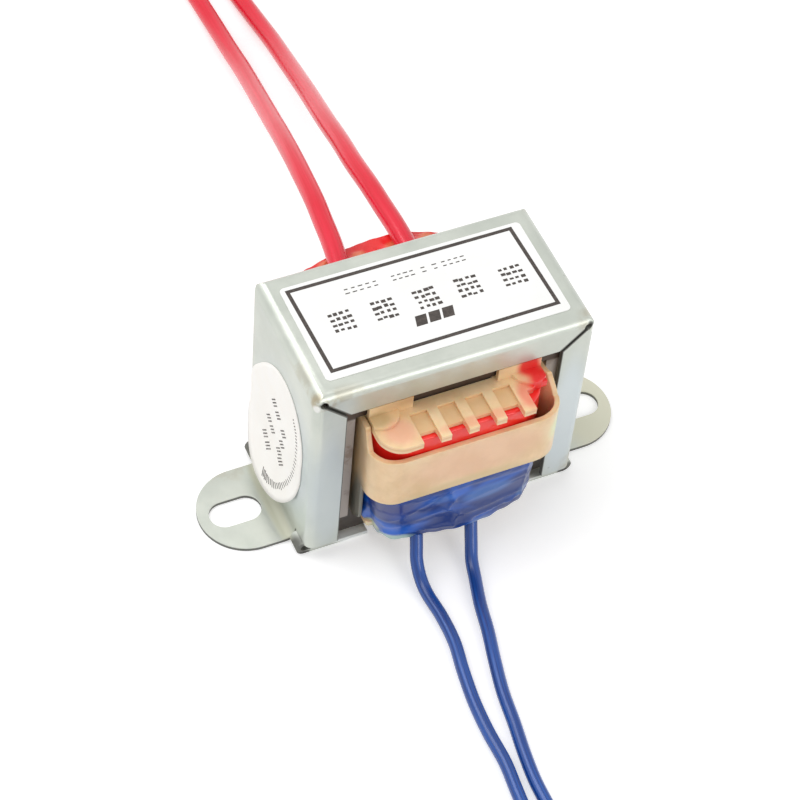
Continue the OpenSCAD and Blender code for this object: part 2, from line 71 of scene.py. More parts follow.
def aim_camera():
    """Camera on a sphere round its target, turned about its own axis by the roll."""
    azimuth, elevation, roll = np.radians((CAMERA_AZIMUTH, CAMERA_ELEVATION, CAMERA_ROLL))
    back = np.array((math.cos(elevation) * math.cos(azimuth),
                     math.cos(elevation) * math.sin(azimuth), math.sin(elevation)))
    level = np.cross(-back, (0, 0, 1))
    level /= np.linalg.norm(level)
    upright = np.cross(level, -back)
    right = math.cos(roll) * level + math.sin(roll) * upright
    up = -math.sin(roll) * level + math.cos(roll) * upright
    camera = add_object("camera", bpy.data.cameras.new("camera"))
    set_up(camera, right, up, back, np.array(CAMERA_TARGET) + CAMERA_DISTANCE * back)
    camera.data.sensor_width = 36
    camera.data.lens = CAMERA_LENS
    camera.data.clip_start, camera.data.clip_end = 0.01, 10
    bpy.context.scene.camera = camera


aim_camera()


# ---- Meshes from arrays ----

def grid_faces(rows, columns, wrap_rows=False, wrap_columns=False):
    """Quads of a grid of points counted row by row; wrapped sides join the last line to the first."""
    r = np.arange(rows if wrap_rows else rows - 1)[:, None]
    c = np.arange(columns if wrap_columns else columns - 1)[None, :]
    r2, c2 = (r + 1) % rows, (c + 1) % columns
    corners = (r * columns + c, r * columns + c2, r2 * columns + c2, r2 * columns + c)
    return np.stack(np.broadcast_arrays(*corners), axis=-1).reshape(-1, 4).tolist()


def make_piece(name, points, faces, uv=None, smooth=True):
    """Object at the origin whose mesh holds the points, given in millimetres, and the faces."""
    mesh = bpy.data.meshes.new(name)
    mesh.from_pydata((np.asarray(points, float).reshape(-1, 3) * MM).tolist(), [], faces)
    mesh.polygons.foreach_set("use_smooth", np.full(len(mesh.polygons), smooth))
    if uv is not None:
        corners = np.empty(len(mesh.loops), np.int32)
        mesh.loops.foreach_get("vertex_index", corners)
        layer = mesh.uv_layers.new(name="run")
        layer.data.foreach_set("uv", np.asarray(uv, np.float32)[corners].ravel())
    mesh.update()
    return add_object(name, mesh)


def unit(vectors):
    return vectors / np.linalg.norm(vectors, axis=-1, keepdims=True)


def lengths_along(line):
    """Length of a line from its first point to each of its points."""
    return np.concatenate(([0], np.cumsum(np.linalg.norm(np.diff(line, axis=0), axis=1))))


def read_off(at, known, line):
    """Values of a line at some lengths, in between the lengths that are known."""
    return np.stack([np.interp(at, known, column) for column in line.T], -1)


def hold(piece, finish, node=None):
    """Gives a piece its finish and its slot, and puts it on the body, in place of a node if one is named."""
    piece.data.materials.append(finish)
    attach(piece, "root")
    if node:
        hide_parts(node)


# ---- Free leads ----

RED_LEAD_D, BLUE_LEAD_D = 2.6, 1.65
RED_WIRE_D, BLUE_WIRE_D = 1.1, 0.9
TINNED_L = 5
STRANDS_INSIDE = 0.4  # how far the strands start inside the insulation
STRAND_TWIST = 0.9  # radians in each millimetre

RED_ROUTE_1 = [
    (-5.9, 11.4, 26.75), (-5.5, 13.4, 26.75), (-5, 16.4, 26.6), (-4.5, 20.2, 26.2), (-3.9, 24.4, 25.6),
    (-3.1, 30, 24.1), (-2.1, 36, 21.9), (-0.9, 42.5, 18.9), (0.3, 48.6, 15.7), (1.6, 55, 12.3),
    (2.9, 61.5, 8.9), (4, 68, 5.9), (4.7, 74.4, 3.5), (5.1, 80.5, 2), (5.1, 86, 1.4), (4.9, 91, 1.3),
    (4.7, 96, 1.3), (4.5, 100.6, 1.3),
]
RED_ROUTE_2 = [
    (3.4, 11.4, 26.75), (3.45, 13.4, 26.75), (3.5, 16.4, 26.6), (3.5, 20.2, 26.2), (3.6, 24.4, 25.6),
    (3.9, 30, 24.1), (4.7, 36, 21.9), (5.7, 42.5, 18.9), (6.9, 48.6, 15.7), (8.2, 55, 12.3),
    (9.4, 61.5, 8.9), (10.4, 68, 5.9), (11.1, 74.4, 3.5), (11.2, 80.5, 2), (10.9, 86, 1.4), (10.5, 91, 1.3),
    (10.1, 96, 1.3), (9.8, 100.6, 1.3),
]
FLAT_Z = 0.85  # middle of a blue lead where it lies flat
BLUE_ROUTE_1 = [
    (-5.4, -14.1, 5), (-5.8, -15.2, 3.9), (-6.2, -16.4, 2.7), (-6.4, -18.1, 1.5), (-6.4, -20.3, 0.9),
    *((x, y, FLAT_Z) for x, y in (
        (-6.1, -24), (-6.2, -28), (-6.9, -32), (-7.5, -36.5), (-7.7, -41), (-7.6, -45.5), (-8, -50),
        (-8.3, -55), (-7.3, -60), (-4.9, -64.5), (-1.5, -68.2), (2.7, -71), (7.2, -73.3), (11.9, -75.6),
        (16.6, -77.9), (21.3, -80.2), (26, -82.5), (31.5, -85.2))),
]
BLUE_ROUTE_2 = [
    (2, -14.1, 5), (1.6, -15.2, 3.9), (1.2, -16.4, 2.7), (0.6, -18.1, 1.5), (0.1, -20.3, 0.9),
    *((x, y, FLAT_Z) for x, y in (
        (-0.9, -24), (-1.7, -28), (-2.7, -32), (-3.7, -36.5), (-4.3, -41), (-5, -45.5), (-5.4, -50),
        (-5.1, -55), (-3.4, -59.6), (-0.2, -63.4), (4, -66.2), (8.6, -68.5), (13.4, -70.7), (18.2, -72.9),
        (23, -75.1), (27.8, -77.3), (32.6, -79.5), (37.4, -81.7))),
]


def smooth_route(points, steps=10):
    """Curve through the points: on each span a cubic whose slope at a point is half the chord
    between that point's two neighbours."""
    p = np.array(points, float)
    p = np.vstack((2 * p[0] - p[1], p, 2 * p[-1] - p[-2]))
    t = np.linspace(0, 1, steps, endpoint=False)[None, :, None]
    a, b, c, d = p[:-3, None], p[1:-2, None], p[2:-1, None], p[3:, None]
    curve = (2 * b + (c - a) * t + (2 * a - 5 * b + 4 * c - d) * t**2 + (3 * b - a - 3 * c + d) * t**3) / 2
    return np.vstack((curve.reshape(-1, 3), p[-2]))


def tube_faces(rings, sides):
    """Faces of a tube of rings of points, with a flat cap at both ends."""
    last = (rings - 1) * sides
    caps = [list(range(sides))[::-1], list(range(last, last + sides))]
    return grid_faces(rings, sides, wrap_columns=True) + caps


def square_to(path):
    """Level side vector and upright vector, square to the path, at each of its points."""
    along = unit(np.gradient(path, axis=0))
    side = unit(np.cross(along, (0, 0, 1)))
    return side, np.cross(side, along)


def tube(name, path, radius, sides=24):
    """Tube along a path: a circle of the radius, in the plane square to the path, at each point.
    Its map runs along the lead in metres and once round it."""
    side, up = square_to(path)
    share = np.linspace(0, 1, sides, endpoint=False)[None, :]
    turn = 2 * np.pi * share[..., None]
    circle = np.cos(turn) * side[:, None] - np.sin(turn) * up[:, None]
    run = lengths_along(path) * MM
    uv = np.stack(np.broadcast_arrays(run[:, None], share), axis=-1).reshape(-1, 2)
    return make_piece(name, path[:, None] + radius * circle, tube_faces(len(path), sides), uv)


def tinned_strands(name, route, wire_d):
    """Seven twisted strands: one straight, and six that turn round it as helices, all carried on
    straight from the end of the route, each a tube of a third of the wire with a narrowed tip."""
    end = np.array(route[-1], float)
    heading = unit(end - np.array(route[-2], float)) * (1, 1, 0)
    r = wire_d / 6
    run = np.linspace(-STRANDS_INSIDE, TINNED_L, 40)
    side, up = np.cross(heading, (0, 0, 1)), np.array((0, 0, 1.0))
    phase = np.arange(6)[:, None] * np.pi / 3 + run[None, :] * STRAND_TWIST
    helix = 2 * r * np.stack((np.cos(phase), np.sin(phase)), -1)
    offset = np.concatenate((np.zeros((1, len(run), 2)), helix))
    centre = end + run[None, :, None] * heading + offset[..., :1] * side + offset[..., 1:] * up
    turn = np.linspace(0, 2 * np.pi, 10, endpoint=False)
    circle = r * (np.cos(turn)[:, None] * side - np.sin(turn)[:, None] * up)
    tip = np.where(run > TINNED_L - 0.15, 0.6, 1.0)[None, :, None, None]
    points = centre[:, :, None] + tip * circle
    one = tube_faces(len(run), len(turn))
    faces = [[v + k * len(run) * len(turn) for v in face] for k in range(7) for face in one]
    return make_piece(name, points, faces)


def free_lead(colour, number, route, lead_d, wire_d):
    """One lead with its bare end, in place of its two nodes."""
    name = f"lead_{colour}_{number}"
    path = smooth_route(route)
    strands = tinned_strands(f"{name}_strands", route, wire_d)
    lead = tube(f"{name}_insulation", path, lead_d / 2)
    for piece, node in ((lead, name), (strands, f"tinned_{colour}_{number}")):
        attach(piece, "root")
        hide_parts(node)
    return lead, strands


red_leads = [free_lead("red", n, route, RED_LEAD_D, RED_WIRE_D)
             for n, route in enumerate((RED_ROUTE_1, RED_ROUTE_2), 1)]
blue_leads = [free_lead("blue", n, route, BLUE_LEAD_D, BLUE_WIRE_D)
              for n, route in enumerate((BLUE_ROUTE_1, BLUE_ROUTE_2), 1)]


# ---- Shader helpers ----

def tint(red, green, blue):
    """Colour from display values of 0 to 255, as the linear colour that a socket holds."""
    c = np.array((red, green, blue)) / 255
    linear = np.where(c <= 0.04045, c / 12.92, ((c + 0.055) / 1.055) ** 2.4)
    return (*linear.tolist(), 1.0)


def place(tree, kind, inputs=None, **settings):
    """Adds a node, with its settings, and its sockets filled from values or from other sockets."""
    made = tree.nodes.new(kind)
    for key, value in settings.items():
        setattr(made, key, value)
    for key, value in (inputs or {}).items():
        if isinstance(value, bpy.types.NodeSocket):
            tree.links.new(value, made.inputs[key])
        else:
            made.inputs[key].default_value = value
    return made


def maths(tree, operation, *values):
    return place(tree, "ShaderNodeMath", dict(enumerate(values)), operation=operation).outputs[0]


def times(tree, one, other):
    return maths(tree, "MULTIPLY", one, other)


def vector_maths(tree, operation, *values, **named):
    """Vector Math node, as its outputs."""
    inputs = {**dict(enumerate(values)), **named}
    return place(tree, "ShaderNodeVectorMath", inputs, operation=operation).outputs


def noise(tree, position, scale, detail, **more):
    """Cloudy noise over a position."""
    inputs = {"Vector": position, "Scale": scale, "Detail": detail, **more}
    return place(tree, "ShaderNodeTexNoise", inputs).outputs["Fac"]


def stretch(tree, position, scale):
    return place(tree, "ShaderNodeMapping", {"Vector": position, "Scale": scale}).outputs[0]


def in_millimetres(tree, position):
    return vector_maths(tree, "SCALE", position, Scale=1 / MM)[0]


def axes(tree, position):
    return place(tree, "ShaderNodeSeparateXYZ", {0: position}).outputs


def fade(tree, value, low, high):
    """0 below low, 1 above high, eased between them; low may be the greater."""
    inputs = {"Value": value, "From Min": low, "From Max": high}
    return place(tree, "ShaderNodeMapRange", inputs, interpolation_type="SMOOTHSTEP").outputs["Result"]


def blend(tree, mask, below, above):
    """Colour below where the mask is 0 and above where it is 1."""
    made = place(tree, "ShaderNodeMix", {0: mask, 6: below, 7: above}, data_type="RGBA")
    return made.outputs[2]


def lay_over(tree, colour, mask, strength, top):
    """Colour with another one laid over it at that strength, where the mask is 1."""
    return blend(tree, times(tree, mask, strength), colour, top)


def start_group(name, **inputs):
    """Node group with inputs of the named kinds, that puts out one mask."""
    tree = bpy.data.node_groups.new(name, "ShaderNodeTree")
    for key, kind in inputs.items():
        tree.interface.new_socket(key, in_out="INPUT", socket_type=f"NodeSocket{kind}")
    tree.interface.new_socket("Mask", in_out="OUTPUT", socket_type="NodeSocketFloat")
    given, result = tree.nodes.new("NodeGroupInput"), tree.nodes.new("NodeGroupOutput")
    return tree, given.outputs, result.inputs["Mask"]


def use(tree, group, **inputs):
    """Places a node group, as its outputs."""
    return place(tree, "ShaderNodeGroup", inputs, node_tree=group).outputs


def blotch_group():
    """Uneven patches: cloudy noise cut off at a level, so that a share of the surface is covered."""
    tree, given, mask = start_group(
        "uneven patches", Position="Vector", Size="Float", Level="Float", Edge="Float")
    scale = maths(tree, "DIVIDE", 1 / MM, given["Size"])
    cloud = noise(tree, given["Position"], scale, detail=5, Roughness=0.6)
    top = maths(tree, "ADD", given["Level"], given["Edge"])
    tree.links.new(fade(tree, cloud, given["Level"], top), mask)
    return tree


def spot_group():
    """Soft spot, longer on some axes than on others: 1 at its centre and 0 past its reach, in millimetres."""
    tree, given, mask = start_group("soft spot", Position="Vector", Centre="Vector", Reach="Vector")
    away = vector_maths(tree, "SUBTRACT", in_millimetres(tree, given["Position"]), given["Centre"])[0]
    share = vector_maths(tree, "DIVIDE", away, given["Reach"])[0]
    tree.links.new(fade(tree, vector_maths(tree, "LENGTH", share)["Value"], 1.0, 0.45), mask)
    return tree


def chip_group():
    """Small separate specks: the middles of scattered cells, kept where a cloud allows them."""
    tree, given, mask = start_group("small chips", Position="Vector", Spacing="Float", Size="Float")
    scale = maths(tree, "DIVIDE", 1 / MM, given["Spacing"])
    cells = place(tree, "ShaderNodeTexVoronoi", {"Vector": given["Position"], "Scale": scale})
    cloud = noise(tree, given["Position"], times(tree, scale, 0.4), detail=2)
    inside = fade(tree, cells.outputs["Distance"], given["Size"], times(tree, given["Size"], 0.5))
    tree.links.new(times(tree, inside, fade(tree, cloud, 0.52, 0.6)), mask)
    return tree


PATCHES, SPOT, CHIPS = blotch_group(), spot_group(), chip_group()


def patches(tree, position, size, level, edge):
    """Mask of uneven patches of about that size in millimetres."""
    return use(tree, PATCHES, Position=position, Size=size, Level=level, Edge=edge)["Mask"]


def start_material(name, **sockets):
    """Material with a plain Principled shader, and the Object coordinates to paint by."""
    material = bpy.data.materials.new(name)
    material.use_nodes = True
    tree = material.node_tree
    shader = tree.nodes["Principled BSDF"]
    for key, value in sockets.items():
        shader.inputs[key.replace("_", " ")].default_value = value
    position = place(tree, "ShaderNodeTexCoord").outputs["Object"]
    return material, tree, shader, position


def paint(tree, shader, colour):
    tree.links.new(colour, shader.inputs["Base Color"])


def bump(tree, shader, height, depth):
    """Relief of that depth in millimetres under the shader's normal."""
    made = place(tree, "ShaderNodeBump", {"Height": height, "Distance": depth * MM})
    tree.links.new(made.outputs["Normal"], shader.inputs["Normal"])


def zones(tree, position, colour, spots):
    """Lays soft spots of other colours over a colour: each is (colour, strength, centre, reach).
    Also gives a mask that is 1 where any spot is strong."""
    cover = None
    for spot_colour, strength, centre, reach in spots:
        mask = use(tree, SPOT, Position=position, Centre=centre, Reach=reach)["Mask"]
        colour = lay_over(tree, colour, mask, strength, tint(*spot_colour))
        cover = mask if cover is None else maths(tree, "MAXIMUM", cover, mask)
    return colour, cover


# The second colour on the next line is painted shade, for the outer bends of the lugs folded under the core.
BROWN_STAIN, LUG_BEND_SHADE = (158, 140, 104), (72, 70, 64)
# The first colour on the next line is for near-white spots by the tops of the mitre slits.
NEAR_WHITE, SHADOW = (252, 252, 248), (40, 38, 34)
ZINC_STAINS = [(BROWN_STAIN, *spot) for spot in (
    (0.6, (-17.4, -9.6, 30.4), (3.2, 2, 1.3)),
    (0.3, (-15, -9.6, 30.9), (5, 2, 1)),
    (0.25, (-17.9, -5, 30.6), (1.4, 6, 1.2)),
    (0.35, (17.4, -9, 30.6), (2.5, 2.5, 1.4)),
    (0.5, (17.6, -9.9, 3.4), (2, 1.5, 2.6)),
    (0.2, (-22, 6.2, 0.6), (4, 2.5, 1)),
    (0.4, (16, 9.6, 30.4), (3, 2, 1.4)),
    (0.4, (-16.5, 9.6, 4), (3, 2, 3)),
)]
# Painted shade on the left web and the left of the front flange; painted light on the right of the front
# flange and on the front left lug.
ZINC_PAINTED_SHADING = [
    ((184, 193, 198), 0.7, (-18.2, -2, 14), (2.5, 12, 15)),
    ((186, 195, 199), 0.6, (-15.6, -9.9, 13), (3, 1, 15)),
    ((206, 215, 219), 0.8, (15.9, -9.9, 13), (3.2, 1, 16)),
    ((250, 252, 250), 1, (-11.2, -8.8, 0.7), (3.4, 2.2, 1.2)),
]
# Spots that also turn the zinc matt: painted light on the lug tops and the right foot, yellowish tones along
# the feet's bends, painted shade on the lugs' outer bends, near-white spots and painted shadow at the tops of
# the mitre slits.
ZINC_LIGHT_SHADE_AND_TONES = [
    # painted light on the tops of the lugs folded under the core
    *(((242, 246, 244), 1, (x, -9, 0.7), (4, 1.6, 0.8)) for x in (-11.2, 11.2)),
    ((196, 196, 174), 0.8, (-19.1, 0, 0.9), (1.3, 12, 1.5)),
    ((190, 188, 168), 0.9, (19.1, 0, 0.9), (1.3, 12, 1.5)),
    # painted light on the right foot
    ((231, 229, 206), 0.8, (25, 0, 0.6), (6, 13, 1.5)),
    # painted shade on the outer bends of the left foot's lugs
    *((LUG_BEND_SHADE, 0.85, (-18.6, y, 0.8), (1.7, 2, 2.4)) for y in (-8.2, 8.2)),
    (NEAR_WHITE, 0.9, (-17.8, -9.4, 29.7), (0.5, 0.8, 0.8)),
    (NEAR_WHITE, 0.9, (17.8, -9.4, 29.6), (0.5, 0.8, 1)),
    (SHADOW, 1, (-17.2, -9.5, 30.4), (0.6, 0.7, 0.6)),
    (SHADOW, 1, (17.3, -9.5, 30.5), (0.6, 0.7, 0.7)),
    # painted shade on the outer bends of the right foot's lugs
    (LUG_BEND_SHADE, 0.8, (18.4, -8.2, 0.7), (1.3, 1.6, 1.5)),
    (LUG_BEND_SHADE, 0.9, (18.4, 8.2, 0.7), (1.3, 1.6, 1.7)),
]
OPENING_X, OPENING_TOP = 14, 27  # edges of the frame's openings
SLIT_RISE, SLIT_END = 13.25, 17.0  # a mitre slit runs where z is |x| and this much more, up to an |x|
FLANGE_Y, FOOT_X, FOOT_EDGE_Z = 9.4, 17.4, 0.36  # where the flanges and the feet's lower edges are
EDGE_W = 0.16  # of the dark line along a sheared edge, cut metal with painted shade


def close_to(tree, value, target, near, far):
    """1 where a value is within near of the target, 0 beyond far."""
    return fade(tree, maths(tree, "ABSOLUTE", maths(tree, "SUBTRACT", value, target)), far, near)


def edge_lines_and_shade(tree, position):
    """Mask for the sheared edges of the frame, darker cut metal with painted shade: the feet's lower edge,
    with painted contact shadow, the edges round both openings and the lips of the mitre slits."""
    parts = axes(tree, in_millimetres(tree, position))
    out, deep, high = maths(tree, "ABSOLUTE", parts["X"]), maths(tree, "ABSOLUTE", parts["Y"]), parts["Z"]
    flange = fade(tree, deep, FLANGE_Y - 0.2, FLANGE_Y)
    upright = times(tree, close_to(tree, out, OPENING_X, 0.05, EDGE_W),
                    fade(tree, high, OPENING_TOP + 0.1, OPENING_TOP - 0.1))
    level = times(tree, close_to(tree, high, OPENING_TOP, 0.05, EDGE_W),
                  fade(tree, out, OPENING_X + 0.1, OPENING_X - 0.1))
    slit = times(tree, close_to(tree, maths(tree, "SUBTRACT", high, out), SLIT_RISE, 0.4, 0.6),
                 fade(tree, out, SLIT_END + 0.3, SLIT_END))
    around = maths(tree, "MAXIMUM", upright, maths(tree, "MAXIMUM", level, slit))
    low = fade(tree, high, FOOT_EDGE_Z + 0.14, FOOT_EDGE_Z)
    below = times(tree, low, fade(tree, out, FOOT_X - 0.4, FOOT_X))
    return maths(tree, "MAXIMUM", times(tree, around, flange), below)


def zinc_finish():
    """Zinc-plated sheet: pale grey with clouds, brown stains at corners and bends, painted shade and painted
    light on some faces, the lugs and the right foot, dark edges partly painted shade, and chips.
    """
    material, tree, shader, position = start_material("zinc plated sheet", Metallic=0.62, Roughness=0.42)
    clouds = patches(tree, position, size=9, level=0.36, edge=0.3)
    colour = blend(tree, clouds, tint(193, 198, 189), tint(204, 208, 199))
    stained = patches(tree, position, size=2.6, level=0.36, edge=0.3)
    marked, _ = zones(tree, position, colour, ZINC_STAINS)
    colour = blend(tree, fade(tree, stained, 0.0, 0.8), colour, marked)
    colour, _ = zones(tree, position, colour, ZINC_PAINTED_SHADING)
    colour, light_shade_and_tones = zones(tree, position, colour, ZINC_LIGHT_SHADE_AND_TONES)
    chips = use(tree, CHIPS, Position=position, Spacing=3.4, Size=0.085)["Mask"]
    colour = blend(tree, chips, colour, tint(112, 110, 102))
    edges = edge_lines_and_shade(tree, position)
    # dark sheared edges: cut metal with painted shade, and painted contact shadow under the feet
    colour = lay_over(tree, colour, edges, 0.85, tint(58, 56, 50))
    paint(tree, shader, colour)
    dull = maths(tree, "MAXIMUM", light_shade_and_tones, edges)
    tree.links.new(maths(tree, "MULTIPLY_ADD", dull, -0.5, 0.62), shader.inputs["Metallic"])
    fine = noise(tree, position, scale=900, detail=3)
    rough = maths(tree, "MULTIPLY_ADD", fine, 0.14, 0.3)
    tree.links.new(maths(tree, "MULTIPLY_ADD", dull, 0.2, rough), shader.inputs["Roughness"])
    wavy = noise(tree, position, scale=110, detail=1)
    bump(tree, shader, maths(tree, "ADD", times(tree, fine, 0.06), wavy), depth=0.25)
    return material


PLATE_PITCH, CORE_FRONT = 0.5, -9.0
UPPER_YOKE_SHADE_Z, LOWER_YOKE_SHADE_Z = 24.6, 5.8  # where the painted shade on the yokes begins


def core_finish():
    """Edges of steel plates: each plate its own grey-brown, with varnish stains; the upper yoke dark with
    varnish and painted shade under the frame, the lower yoke dark with painted shade in the recess under the
    core.
    """
    material, tree, shader, position = start_material("core steel", Metallic=0.35, Roughness=0.5)
    parts = axes(tree, in_millimetres(tree, position))
    depth = maths(tree, "SUBTRACT", parts["Y"], CORE_FRONT)
    plate = maths(tree, "FLOOR", maths(tree, "DIVIDE", depth, PLATE_PITCH))
    tone = place(tree, "ShaderNodeTexWhiteNoise", {"W": plate}, noise_dimensions="1D")
    colour = blend(tree, tone.outputs["Value"], tint(160, 149, 142), tint(178, 169, 162))
    stain = patches(tree, position, size=3, level=0.5, edge=0.12)
    colour = lay_over(tree, colour, stain, 0.5, tint(112, 92, 74))
    # upper yoke: dark brown varnish and painted shade under the frame's top
    above = fade(tree, parts["Z"], UPPER_YOKE_SHADE_Z, UPPER_YOKE_SHADE_Z + 0.5)
    colour = lay_over(tree, colour, above, 0.92, tint(66, 47, 32))
    # lower yoke: painted shade in the recess under the core
    below = fade(tree, parts["Z"], LOWER_YOKE_SHADE_Z, LOWER_YOKE_SHADE_Z - 0.4)
    colour = lay_over(tree, colour, below, 0.85, tint(52, 45, 40))
    paint(tree, shader, colour)
    bump(tree, shader, noise(tree, position, scale=1400, detail=3), depth=0.02)
    return material


CUP_ZONES = [
    ((244, 190, 158), 0.5, (1.5, -15.2, 18.6), (11.5, 2.5, 4.6)),
    ((216, 190, 138), 0.7, (0, -15.2, 13.6), (13, 3, 2.2)),
    # painted shade on the left wall beside the core
    ((176, 146, 108), 0.8, (-12, -8.6, 19), (1.3, 4, 10)),
    # painted shade on both skirts beside the core, which the core close behind also darkens
    *(((150, 126, 100), 0.9, (x, 0, 8), (1, 14, 8.5)) for x in (-11.8, 12)),
    # painted shade low on the left skirt's front, with the core close behind
    ((96, 98, 90), 0.95, (-12, -10.4, 9), (1.1, 3, 8.6)),
    # painted light in the inner right corner, over the narrow gap's shade and the red tape's bounce
    ((238, 224, 178), 0.6, (11.2, -12.6, 19), (3.2, 3.4, 5)),
    ((212, 240, 184), 0.85, (11.2, -13, 18.5), (2, 2, 4)),
    ((188, 206, 184), 0.85, (-8.8, -13.2, 5.6), (4.5, 3.5, 1.4)),
]
COMB_ZONES = [
    # painted shade on the wall under the frame's top flange
    ((190, 150, 106), 0.75, (-2, -9.5, 26.8), (11, 1, 1.7)),
    ((240, 150, 120), 0.5, (1.5, -14.3, 24.8), (8, 1.1, 1.2)),
    ((238, 110, 92), 0.7, (8.4, -13, 25), (2, 3, 1.4)),
    ((240, 34, 34), 1, (10.4, -12.2, 25), (2.1, 4.6, 2)),
    ((236, 40, 40), 0.95, (9.6, -9.6, 26.4), (2, 1.9, 2.6)),
    ((244, 176, 150), 0.6, (-8.4, -12.8, 25), (2.6, 2.4, 1.4)),
    ((196, 168, 118), 0.7, (-10.4, -10.6, 25.3), (2.4, 1.6, 1.4)),
]
TRAY_FLOOR = 24.6  # height of the comb's tray floors


def nylon_finish(name, spots):
    """Natural nylon: warm cream that lets some light through, tinted where tape or core lies close
    behind it, with other spots, some of them painted shade and painted light, and painted shade on the floors
    of the comb's trays."""
    material, tree, shader, position = start_material(
        name, Roughness=0.38, Subsurface_Weight=0.3, Subsurface_Scale=0.0009, Coat_Weight=0.3,
        Coat_Roughness=0.12)
    shader.inputs["Subsurface Radius"].default_value = (1.0, 0.5, 0.28)
    clouds = patches(tree, position, size=4, level=0.35, edge=0.3)
    colour = blend(tree, clouds, tint(234, 198, 150), tint(248, 214, 170))
    height = axes(tree, in_millimetres(tree, position))["Z"]
    # the floors of the comb's trays are darker: painted shade
    tray_floor_shade = times(tree, fade(tree, height, TRAY_FLOOR + 0.3, TRAY_FLOOR + 0.1),
                   fade(tree, height, TRAY_FLOOR - 0.3, TRAY_FLOOR))
    colour = lay_over(tree, colour, tray_floor_shade, 0.6, tint(222, 178, 126))
    colour, _ = zones(tree, position, colour, spots)
    paint(tree, shader, colour)
    fine = times(tree, noise(tree, position, scale=700, detail=2), 0.1)
    wavy = noise(tree, position, scale=160, detail=1)
    bump(tree, shader, maths(tree, "ADD", fine, wavy), depth=0.2)
    return material


def tape_finish(name, dark, light, spots=()):
    """Polyester tape: glossy, with long shallow creases that carry painted light on their ridges and painted
    shade in their hollows, and spots of other colours.
    """
    material, tree, shader, position = start_material(
        name, Roughness=0.34, Coat_Weight=0.35, Coat_Roughness=0.05)
    crease = noise(tree, stretch(tree, position, (0.4, 0.4, 1.2)), scale=300, detail=2, Distortion=0.5)
    # lighter on the creases' ridges, darker in their hollows: painted light and shade
    colour = blend(tree, fade(tree, crease, 0.35, 0.7), dark, light)
    colour, _ = zones(tree, position, colour, spots)
    paint(tree, shader, colour)
    bump(tree, shader, crease, depth=0.05)
    return material


def clouded_finish(name, size, level, edge, low, high, **sockets):
    """Plain finish of two close colours in uneven patches."""
    material, tree, shader, position = start_material(name, **sockets)
    paint(tree, shader, blend(tree, patches(tree, position, size, level, edge), low, high))
    return material


def insulation_finish(name, dark, light):
    """Extruded PVC: glossy, with faint draw lines along the lead."""
    material, tree, shader, _ = start_material(
        name, Roughness=0.26, Coat_Weight=0.15, Coat_Roughness=0.08)
    run = place(tree, "ShaderNodeUVMap", uv_map="run").outputs[0]
    drawn = noise(tree, stretch(tree, run, (60.0, 14.0, 1.0)), scale=1, detail=3)
    paint(tree, shader, blend(tree, fade(tree, drawn, 0.3, 0.75), dark, light))
    bump(tree, shader, drawn, depth=0.02)
    return material


def copper_finish():
    """Enamelled copper, hidden by the tapes."""
    material, tree, shader, position = start_material("enamelled copper", Metallic=0.9, Roughness=0.3)
    turns = maths(tree, "PINGPONG", axes(tree, in_millimetres(tree, position))["Z"], 0.1)
    turns = times(tree, turns, 9.0)
    paint(tree, shader, blend(tree, turns, tint(150, 78, 44), tint(204, 118, 72)))
    return material


def paper_finish(name, colour_low, colour_high, painted_glow=0.0):
    """Coated paper: near white with a very soft unevenness; a painted glow of that strength makes it look a
    little brighter than its light gives.
    """
    material, tree, shader, position = start_material(name, Roughness=0.5, Emission_Strength=painted_glow)
    shader.inputs["Emission Color"].default_value = (1.0, 0.985, 0.955, 1.0)
    clouds = patches(tree, position, size=6, level=0.35, edge=0.4)
    paint(tree, shader, blend(tree, clouds, colour_low, colour_high))
    bump(tree, shader, noise(tree, position, scale=2500, detail=2), depth=0.006)
    return material


BLUE_TAPE_ZONES = [
    # painted reflections on facets that tilt up, across the front
    ((72, 128, 206), 0.55, (3.4, -15, 10.6), (4.6, 1.5, 1.5)),
    ((76, 124, 200), 0.45, (-2.6, -15, 11.6), (2.4, 1.5, 0.9)),
    ((0, 30, 116), 0.85, (-9.4, -13, 11.6), (5.2, 3.5, 3)),
    # painted shade in a band along the upper edge, under the cup above it
    ((0, 26, 96), 0.6, (4.5, -15, 12.9), (6, 1.5, 0.8)),
    # painted highlight on the fold by the right corner
    ((110, 146, 196), 0.4, (8.6, -14.4, 7.6), (1.2, 1.5, 1.4)),
    ((176, 204, 190), 0.9, (-8.4, -13.6, 5.4), (3.4, 2.6, 1.1)),
    ((196, 206, 176), 0.9, (-10.4, -11.6, 6.2), (1.4, 1.6, 0.9)),
    ((120, 150, 178), 0.5, (2.5, -15, 5.2), (2.2, 1.5, 0.8)),
]
COMB_TAPE_ZONES = [
    ((226, 142, 98), 0.8, (x, 13.3, 25.4), (1.5, 1.9, 1)) for x in (-6.75, -2.25, 2.25, 6.75)
]

